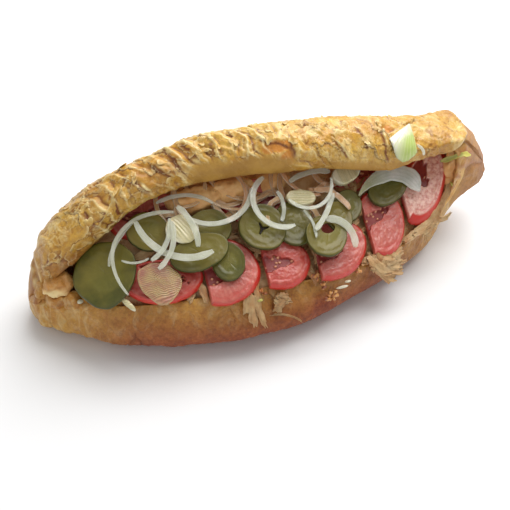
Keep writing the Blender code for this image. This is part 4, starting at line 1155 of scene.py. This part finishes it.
# Chicken: a core under the slices, and shreds torn from it, each a flat bundle of fibres.
# Scattered shreds: number, x range, s range, lift range, (length, width), heading and spread in
# degrees (0 along x, 90 up the slope). Laid shreds: (x, s, lift), (length, width), heading, bend.
chicken = {
    "scattered": {
        "chicken_shreds": [(16, (-70, 88), (0, 5), (-1.0, 1.5), (11, 4.0), 80, 50),
                           (60, (-90, 88), (16, 54), (-1.0, 4.5), (17, 5.0), 60, 90)],
        "chicken_clump_1": [(7, (-15, -8), (-14, -7), (0.8, 2.2), (8, 3.6), 60, 80)],
        "chicken_clump_2": [(10, (54, 68), (-8, 0), (1.8, 3.8), (9, 3.4), -30, 50),
                            (8, (50, 72), (-4, 2), (0.6, 1.8), (10, 4.5), -10, 60)],
        "chicken_clump_3": [(5, (98, 109), (-5, -1), (0.2, 1.4), (9, 3.4), 20, 40)],
    },
    "laid": {
        "chicken_clump_1": [((-31, -13, 0.8), (19, 6.0), 86, 0.05), ((-27, -15, 1.4), (19, 4.0), 97, -0.10),
                            ((-34, -9, 1.0), (14, 4.0), 78, 0.10), ((-9, -21, 0.6), (21, 1.3), -24, -0.20)],
        "chicken_clump_2": [((59.5, -10, 1.4), (23, 6.5), -54, 0.1), ((63, -9, 2.0), (24, 6.0), -38, 0.1),
                            ((65, -7, 2.6), (25, 6.5), -27, 0.1), ((65, -4.5, 2.2), (25, 6.0), -17, 0.0),
                            ((64, -2.0, 1.6), (24, 6.0), -6, 0.0), ((57, -6, 2.8), (18, 6.0), -45, 0.2)],
        "chicken_clump_3": [((113, -6.5, 0.9), (15, 3.2), -39, 0.1), ((105, -3.5, 1.0), (15, 4.5), 12, 0.1),
                            ((88, 0.5, 0.8), (15, 5.0), 4, 0.1), ((98, -0.5, 1.2), (17, 6.0), -8, 0.1),
                            ((109, 0.5, 1.0), (17, 6.0), 10, 0.1), ((120, 3.0, 1.0), (15, 6.0), 24, 0.1)],
    },
    "rows": 22, "around": 44, "fibres": 7, "seed": 11,
    # the core: its distance from the loaf's inner wall, and the depth of its crown under the slices
    "bedInset": 1.4, "bedDepth": 4.8, "bedRoof": 4,
    # crisp browned bits: (x, s, lift), how far they spread, how many, size
    "crisp": [((12.8, 0, 1.2), 2.6, 12, 1.5), ((16.5, -6, 0.8), 2.2, 9, 1.2),
              ((21.5, -14.5, 0.6), 3.2, 16, 1.4), ((-24, -3, 0.6), 2.5, 7, 1.2),
              ((43, -4, 0.6), 3, 6, 1.1)],
}


def chickenFinish(name, pale, roast, deep, gloss):
    # Shaved roast chicken: cream fibres with browned, orange-spiced patches, a little greasy
    material, tree, shader = newFinish(name, Coat_Weight=gloss, Coat_Roughness=0.2, Subsurface_Weight=0.1,
                                       Subsurface_Scale=0.003, Subsurface_Radius=(1.0, 0.6, 0.35))
    spot = place(tree)
    mottle = noise(tree, spot, 150, 4, 0.6)
    fine = noise(tree, spot, 700, 4, 0.6)
    fibre = sums(tree, "SINE", sums(tree, "MULTIPLY", reading(tree, "side"), 34.0))
    colour = coats(tree, pale, (ramp(tree, mottle, (0.4, 0.0), (0.66, 1.0)), roast),
                   (reading(tree, "roast"), deep), (ramp(tree, fibre, (0.5, 0.0), (1.0, 0.4)), roast))
    paint(tree, shader, colour, ramp(tree, fine, (0.3, 0.35), (0.7, 0.6)))
    bump(tree, shader, (fibre, 0.3, 0.6), (fine, 0.35, 0.5))
    return material


def makeChickenBed(finish):
    # The core: the loaf's inner wall stepped in a little, closed by a lumpy crown under the slices
    s = np.linspace(0.13, 0.90, 150)
    controls = loafControls(s)
    inner = controls[:, 17:][:, ::-1]
    hollow = (inner[:, 1:2] + inner[:, 6:7]) / 2
    inward = hollow - inner[:, :8]
    wall = inner[:, :8] + inward * (chicken["bedInset"] / np.linalg.norm(inward, axis=-1))[..., None]
    t = np.linspace(0, 7, 40)
    i = np.minimum(t.astype(int), 6)
    wall = between(wall[:, i], wall[:, i + 1], (t - i)[None, :, None])
    across = np.linspace(0.92, 0.05, 44)[None, :]
    x, y = (between(wall[:, :1, k], wall[:, -1:, k], across) for k in (0, 1))
    climb = np.maximum((y - along(x, loaf["lip"])) / math.cos(filling["slope"]), 0.5)
    lump = flatSpot(x, y)
    top = onFilling(x, climb, -chicken["bedDepth"] + 1.2 * grain(lump, 8, 170) + 0.7 * grain(lump, 3, 171))
    ceiling = along(x, loaf["rimHeight"]) - chicken["bedRoof"]
    z = np.maximum(np.minimum(top[..., 2], ceiling), wall[..., 2].min(1)[:, None] + 3)
    crown = np.stack([x, y, z], -1)
    points = np.concatenate([wall, crown], 1)
    roast = 0.5 * rise(0.0, 0.6, grain(points, 9, 172))
    addPiece("chicken_bed", points, finish, ["chicken_bed"],
             {"roast": roast, "side": roast})


def makeChicken():
    # The bed, then for each clump its laid shreds and its scattered ones, then the crisp bits
    finish = chickenFinish("shaved_chicken", tint(222, 186, 134), tint(196, 146, 94),
                           tint(170, 100, 50), 0.15)
    makeChickenBed(finish)
    rng = np.random.default_rng(chicken["seed"])
    for name, groups in chicken["scattered"].items():
        laid = chicken["laid"].get(name, ())
        rows = [(*at, *size, heading, bend, 0.3) for at, size, heading, bend in laid]
        for count, xs, ss, lifts, (length, width), heading, spreadOut in groups:
            rows += np.stack([*(rng.uniform(*q, count) for q in (xs, ss, lifts)),
                              length * rng.uniform(0.6, 1.3, count), width * rng.uniform(0.5, 1.3, count),
                              heading + spreadOut * rng.uniform(-1, 1, count),
                              rng.uniform(-0.3, 0.3, count), rng.uniform(0, 1, count)], 1).tolist()
        points, fields = shredNet(np.array(rows, float))
        addPiece(name, points, finish, () if name == "chicken_shreds" else [name], fields)
    crisped = chickenFinish("crisped_chicken", tint(226, 168, 92), tint(186, 106, 44),
                            tint(134, 66, 26), 0.6)
    bits = []
    for at, reach, count, size in chicken["crisp"]:
        centres = np.array(at) + rng.normal(0, 1, (count, 3)) * (0.5 * reach, 0.5 * reach, 0.5)
        centres = onFilling(centres[:, 0], centres[:, 1], centres[:, 2])
        bits.append(lumps(centres, size * rng.uniform(0.5, 1.2, (count, 3)), 0.45, count))
    bits = np.concatenate(bits)
    addPiece("crisp_bits", bits, crisped, (),
             {"roast": rise(-0.4, 0.5, grain(bits, 1.5, 190)), "side": 0})


def lumps(centres, sizes, rough, seed, rows=9, around=14):
    # Uneven pebbles: spheres stretched by their sizes, their radius changed by noise
    tilt = np.linspace(0.06, 0.94, rows) * math.pi
    turn = turns(around)
    ball = np.stack([np.outer(np.sin(tilt), np.cos(turn)), np.outer(np.sin(tilt), np.sin(turn)),
                     np.outer(np.cos(tilt), 1 + 0 * turn)], -1)[None]
    number = np.arange(len(centres))[:, None, None, None]
    ball = ball * (1 + rough * grain(ball + 9.7 * number, 0.8, seed)[..., None])
    return np.asarray(centres)[:, None, None] + ball * np.asarray(sizes)[:, None, None]


def shredNet(shreds):
    # Flat bundles of fibres, ridged along their length and carried along a bent line on the filling;
    # each fibre ends at its own length, so the ends are jagged
    x0, s0, lift0, length, width, heading, bend, own = (shreds[:, i, None, None] for i in range(8))
    fibres = chicken["fibres"]
    u = np.linspace(-1, 1, chicken["rows"])[None, :, None]
    u = np.sign(u) * (1 - (1 - np.abs(u)) ** 1.5)
    v = turns(chicken["around"], 0.5)[None, None, :]
    number = np.arange(len(shreds))[:, None, None]
    across = blunted(np.cos(v), 0.7)
    strand = np.floor((across + 1) / 2 * fibres).astype(np.int64)
    ahead, behind = (scatter(number + 0 * strand, strand + 0 * number, k) - 0.5 for k in (181, 182))
    u = u * (1 + 0.7 * np.where(u > 0, ahead, behind) * np.abs(u) ** 2)
    thin = np.clip(1 - np.abs(u / 1.35) ** 5, 0.12, 1)
    ridge = 1 + 0.30 * np.cos(2 * math.pi * (across + 1) / 2 * fibres + 9 * own)
    wander = np.stack(np.broadcast_arrays(3 * u, 0 * u + across, number + 0.5), -1)
    side = across * width / 2 * (0.65 + 0.35 * thin) * (1 + 0.25 * grain(wander, 0.9, 183))
    high = np.sin(v) * (0.5 + 0.12 * width) * thin * ridge
    angle = np.radians(heading) + bend * u
    forward = u * length / 2
    x = x0 + forward * np.cos(angle) - side * np.sin(angle)
    s = s0 + forward * np.sin(angle) + side * np.cos(angle)
    spot = np.stack([x, s, own * 50 + 0 * x], -1)
    lift = lift0 + high + 0.9 * grain(spot, 5, 184) + 0.25 * width * 0.5 * across * np.sin(3 * u + 6 * own)
    roast = 0.85 * rise(0.5, 1.0, own) + 0.3 * rise(0.2, 0.8, grain(spot, 6, 185))
    return onFilling(x, s, lift), {"roast": np.clip(roast, 0, 1), "side": across + 0 * x}


# Small things. Ribbons are given by the points of their middle line, their width and thickness; the
# greens and whites on the filling by (x, s, lift) and half size.
scrap = {
    "lettuce": [(116.5, 14.0, 69.0), (121.0, 12.5, 71.0), (126.0, 11.0, 73.5), (131.0, 10.5, 74.5),
                (135.5, 9.5, 73.5)],
    "lettuceWidth": 3.2, "thin": 0.8,
    "greens": [((-25.5, -8.3, 1.6), (2.0, 1.1, 1.0)), ((123.5, 4.4, 5.0), (1.0, 1.8, 1.0)),
               ((127.0, 24.0, 8.0), (2.2, 1.3, 1.1))],
    "whites": [((29.5, -10.4, 0.9), (4.2, 1.1, 0.9)), ((-132, 0.2, 2.0), (2.2, 1.5, 1.0)),
               ((34, -8.0, 0.9), (2.0, 1.0, 0.8))],
    "crumb": ((-141.5, 11.5, 1.5), (10.0, 8.8, 6.5)),     # toasted crumb in the left corner: at, size
    # onion on the flap: its tip, the first and last bearing, the lengths there, and the thickness
    "wedge": ((88.5, 37), (221, 291), (18.5, 23), 1.6), "wedgeNet": (50, 60), "wedgeRibs": 11,
    "curl": [(96.0, 15.5), (100.0, 13.0), (102.8, 9.0)],
    # soft crumb pulled up under the flap, and crust folded into the left corner: at, size
    "pulled": [((-50, 15, 74), (20, 9, 10)), ((-26, 17, 73), (20, 9, 10)), ((0, 20, 72), (13, 8, 8)),
               ((127, 17, 60), (5, 6, 12)), ((124, 13, 47), (5, 5, 8))],
    "folded": [((-144, -5, 32), (9, 6, 6.5)), ((-134, -11, 34.5), (9, 6, 6)),
               ((-124, -17, 37), (8, 5.5, 5.5)), ((-150, 4, 34), (7, 6, 8)), ((-113, -22, 38), (8, 5, 5))],
    "tornLip": [(131.5, 12.0, 68.0), (131.5, 10.0, 60.0), (128.0, 8.0, 50.0), (122.0, 4.5, 43.5),
                (115.0, 0.5, 39.5)],
}


def ribbon(path, width, thickness, facing, curl, seed, rows=40, around=16):
    # A flat strip along the path: its section is a flattened ellipse across the path, facing the given
    # way; the edges wander in and out and lift by curl
    path = np.array(path, float)
    at = np.linspace(0, 1, rows)
    line = np.stack([along(at * (len(path) - 1), list(enumerate(q))) for q in path.T], -1)[:, None]
    ahead = np.gradient(line, axis=0)
    side = np.cross(ahead, np.array(facing, float))
    side = side / np.linalg.norm(side, axis=-1, keepdims=True)
    out = np.cross(side, ahead)
    out = out / np.linalg.norm(out, axis=-1, keepdims=True)
    v = turns(around)[None, :, None]
    c, d = blunted(np.cos(v), 0.8), np.sin(v)
    ends = between(0.35, 1, np.sin(math.pi / 2 * np.minimum(1, np.minimum(at, 1 - at) * 5)))
    ends = ends[:, None, None]
    spot = np.concatenate(np.broadcast_arrays(12 * at[:, None, None] + 0 * v, np.sign(c) + 0 * c,
                                              seed + 0.3 + 0 * v), -1)
    wide = width / 2 * ends * (1 + 0.3 * grain(spot, 1.3, seed)[..., None])
    points = line + side * c * wide + out * (thickness / 2 * d + curl * c ** 2 * ends)
    return points, c[..., 0] + 0 * points[..., 0], at[:, None] + 0 * points[..., 0]


def leafFinish():
    # Limp lettuce: yellow-green with a pale yellow tip and thin veins
    material, tree, shader = newFinish("lettuce", Coat_Weight=0.3, Coat_Roughness=0.2,
                                       Subsurface_Weight=0.2, Subsurface_Scale=0.003,
                                       Subsurface_Radius=(0.8, 1.0, 0.3))
    mottle = noise(tree, place(tree), 260, 4, 0.6)
    colour = coats(tree, tint(150, 148, 62),
                   (ramp(tree, mottle, (0.4, 0.0), (0.65, 1.0)), tint(176, 168, 90)),
                   (reading(tree, "tip"), tint(226, 218, 112)))
    paint(tree, shader, colour, ramp(tree, mottle, (0.3, 0.3), (0.7, 0.55)))
    bump(tree, shader, (mottle, 0.5, 0.5))
    return material


def makeScraps():
    # A strip of lettuce at the right end, and pebbles of green and white on the filling
    leaf = leafFinish()
    points, side, at = ribbon(scrap["lettuce"], scrap["lettuceWidth"], scrap["thin"], (-0.3, -0.7, 0.7),
                              0.7, 3)
    addPiece("lettuce_strip", points, leaf, ["lettuce_strip"],
             {"tip": np.clip(rise(0.62, 0.8, at) + 0.3 * np.abs(side) ** 3, 0, 1)})
    pale = onionFinish("onion_scrap", tint(226, 222, 196), tint(204, 200, 166), tint(210, 196, 164))
    for name, finish, slot, fields in (("greens", leaf, "lettuce", {"tip": 0.2}),
                                       ("whites", pale, "onion", {"side": 0.3, "own": 0.2})):
        spots, sizes = zip(*scrap[name])
        spots = np.array(spots, float)
        addPiece("scraps_" + name, lumps(onFilling(*spots.T), sizes, 0.3, 200), finish, (), fields)
    makeToastedCrumb()
    makeWedge()
    curlPath = onCrust(*np.array(scrap["curl"], float).T, np.array([1.6, 2.0, 1.4]), "smooth")
    points, side, _ = ribbon(curlPath, 2.0, 0.9, (-0.2, -0.7, 0.6), 0.5, 5, 24, 12)
    addPiece("onion_curl", points, pale, (), {"side": side, "own": 0.1})
    makeTornCrust()


def makeToastedCrumb():
    # A lumpy golden block in the left corner, browned on top
    at, size = scrap["crumb"]
    crumb = lumps(onFilling(*np.array(at, float))[None], [size], 0.35, 205, 60, 90)
    outward = (crumb - crumb.mean((1, 2), keepdims=True)) / size
    crumb = crumb + outward * (0.9 * crinkles(crumb, crumb[..., 0], crumb[..., 2], 5, 206))[..., None]
    crumb = crumb + outward * (0.4 * grain(crumb, 1.6, 207))[..., None]
    brown = rise(-0.2, 0.7, outward[..., 2] + 0.5 * grain(crumb, 5, 208))
    # cream on the lower side: partly its golden crumb, partly painted highlight
    edge = 0.9 * (1 - brown) * rise(-0.6, 0.3, grain(crumb, 4, 209))
    addPiece("toasted_crumb", crumb, bread["finish"], ["toasted_crumb"],
             {"toast": 0.04 * brown, "crack": 0.3 * brown, "edge": edge, "crumb": 0.2, "skin": 0,
              "peeled": 0.6})


def makeWedge():
    # The wedge of onion on the flap: a fan of layers spreading from its tip, arched a little
    (x0, up0), (first, last), (short, long), thickness = scrap["wedge"]
    rows, around = scrap["wedgeNet"]
    far = np.linspace(0.04, 1, rows)[:, None]
    v = turns(around, 0.5)[None, :]
    c, d = blunted(np.cos(v), 0.6), np.sin(v)
    share = (c + 1) / 2
    bearing = np.radians(between(first, last, share))
    reach = far * between(short, long, rise(0.0, 0.7, share)) * (1 + 0.10 * np.sin(math.pi * share))
    ribs = np.cos(share * scrap["wedgeRibs"] * math.pi)
    arch = 2.6 * (1 - c ** 2) * far + 0.6
    roundedEnd = np.sqrt(np.clip(1 - rise(0.93, 1.0, far) ** 2, 0.1, 1))
    lift = arch + (thickness / 2 * roundedEnd + 0.18 * ribs * far) * d + 0.2
    points = onCrust(x0 + reach * np.cos(bearing), up0 + reach * np.sin(bearing), lift + 1.2, "smooth")
    material, tree, shader = newFinish("fresh_onion", Coat_Weight=0.5, Coat_Roughness=0.12,
                                       Subsurface_Weight=0.2, Subsurface_Scale=0.004,
                                       Subsurface_Radius=(0.8, 1.0, 0.6))
    streak = sums(tree, "SINE", sums(tree, "MULTIPLY", reading(tree, "share"), 60.0))
    streak = ramp(tree, streak, (0.2, 0.0), (1.0, 0.5))
    colour = coats(tree, tint(226, 220, 206), (reading(tree, "green"), tint(178, 196, 104)),
                   (streak, tint(206, 214, 150)))
    paint(tree, shader, colour, 0.3)
    bump(tree, shader, (streak, 0.2, 0.5))
    green = np.clip(rise(0.1, 0.75, share + 0.0 * far) * rise(0.1, 0.6, far) + 0.1, 0, 1)
    addPiece("onion_on_flap", points, material, ["onion_on_flap"],
             {"share": share + 0 * far, "green": green})


def makeTornCrust():
    # Soft crumb pulled up under the flap, crust folded into the left corner, and the torn right lip
    for name, crumb, toast in (("pulled", 1.0, 0.0), ("folded", 0.0, 0.35)):
        at, size = (np.array(q, float) for q in zip(*scrap[name]))
        torn = lumps(at, size, 0.35, 210, 60, 80)
        outward = (torn - torn.mean((1, 2), keepdims=True)) / size[:, None, None]
        wave = crinkles(torn, torn[..., 0], torn[..., 2], 7, 211)
        torn = torn + outward * (1.0 * wave + 0.5 * grain(torn, 2.5, 212))[..., None]
        # the pulled crumb sits in the flap's shade and is lightened with the edge colour as painted light;
        # on the folded crust the troughs are darkened as painted shade and the crests lightened as painted
        # highlight
        addPiece(name + "_crumb", torn, bread["finish"], (),
                 {"toast": toast + 0.15 * rise(0, 0.6, grain(torn, 7, 213)),
                  "crack": 0.4 * fall(-0.9, -0.3, wave), "crumb": crumb, "skin": 0,
                  "edge": 0.4 * crumb + 0.3 * (1 - crumb) * rise(0.4, 0.9, wave)})
    points, side, _ = ribbon(scrap["tornLip"], 3.4, 1.0, (0.3, -0.9, 0.3), 0.8, 6, 60, 16)
    addPiece("torn_lip", points, bread["finish"], (),
             {"toast": 0.1, "crack": 0, "edge": 0.6 * np.abs(side) ** 2, "crumb": 0.6, "skin": 0.5})


print("laying the filling")
makeChicken()
makeTomatoes()
makePickles()
makeStrips()
makeOnions()
makeScraps()

# Plain pale floor, soft studio light from above and behind, and the camera
studio = {
    "camera": (-0.1336, -0.4110, 0.466), "look": (0.1932, 0.6738, -0.7133), "lens": 65.6, "sensor": 36,
    "floor": (0.82, 0.82, 0.82, 1), "floorSize": 8, "sky": (1, 1, 1, 1), "skyStrength": 0.46,
    "key": ((0.36, 0.36, 0.85), 1.0, 15.0), "fill": ((-0.5, -0.7, 0.6), 1.2, 1.5),
}


def makeStudio():
    # Floor, even sky, two square lamps that face the origin, and the camera
    bpy.ops.mesh.primitive_plane_add(size=studio["floorSize"])
    floor = bpy.context.object
    floor.name = "floor"
    material, _, _ = newFinish("pale_floor", Roughness=0.6, Base_Color=studio["floor"])
    floor.data.materials.append(material)
    world = bpy.data.worlds.new("soft_room")
    world.use_nodes = True
    background = world.node_tree.nodes["Background"]
    background.inputs["Color"].default_value = studio["sky"]
    background.inputs["Strength"].default_value = studio["skyStrength"]
    bpy.context.scene.world = world
    for name in ("key", "fill"):
        spot, size, power = studio[name]
        light = bpy.data.lights.new(name, "AREA")
        light.size, light.energy = size, power
        lamp = bpy.data.objects.new(name, light)
        lamp.location = spot
        lamp.rotation_euler = (-Vector(spot)).to_track_quat("-Z", "Y").to_euler()
        bpy.context.scene.collection.objects.link(lamp)
    lens = bpy.data.cameras.new("camera")
    lens.lens, lens.sensor_width = studio["lens"], studio["sensor"]
    camera = bpy.data.objects.new("camera", lens)
    camera.location = studio["camera"]
    camera.rotation_euler = Vector(studio["look"]).to_track_quat("-Z", "Y").to_euler()
    bpy.context.scene.collection.objects.link(camera)
    bpy.context.scene.camera = camera
    bpy.context.scene.view_settings.view_transform = "Standard"


makeStudio()
print("studio ready")
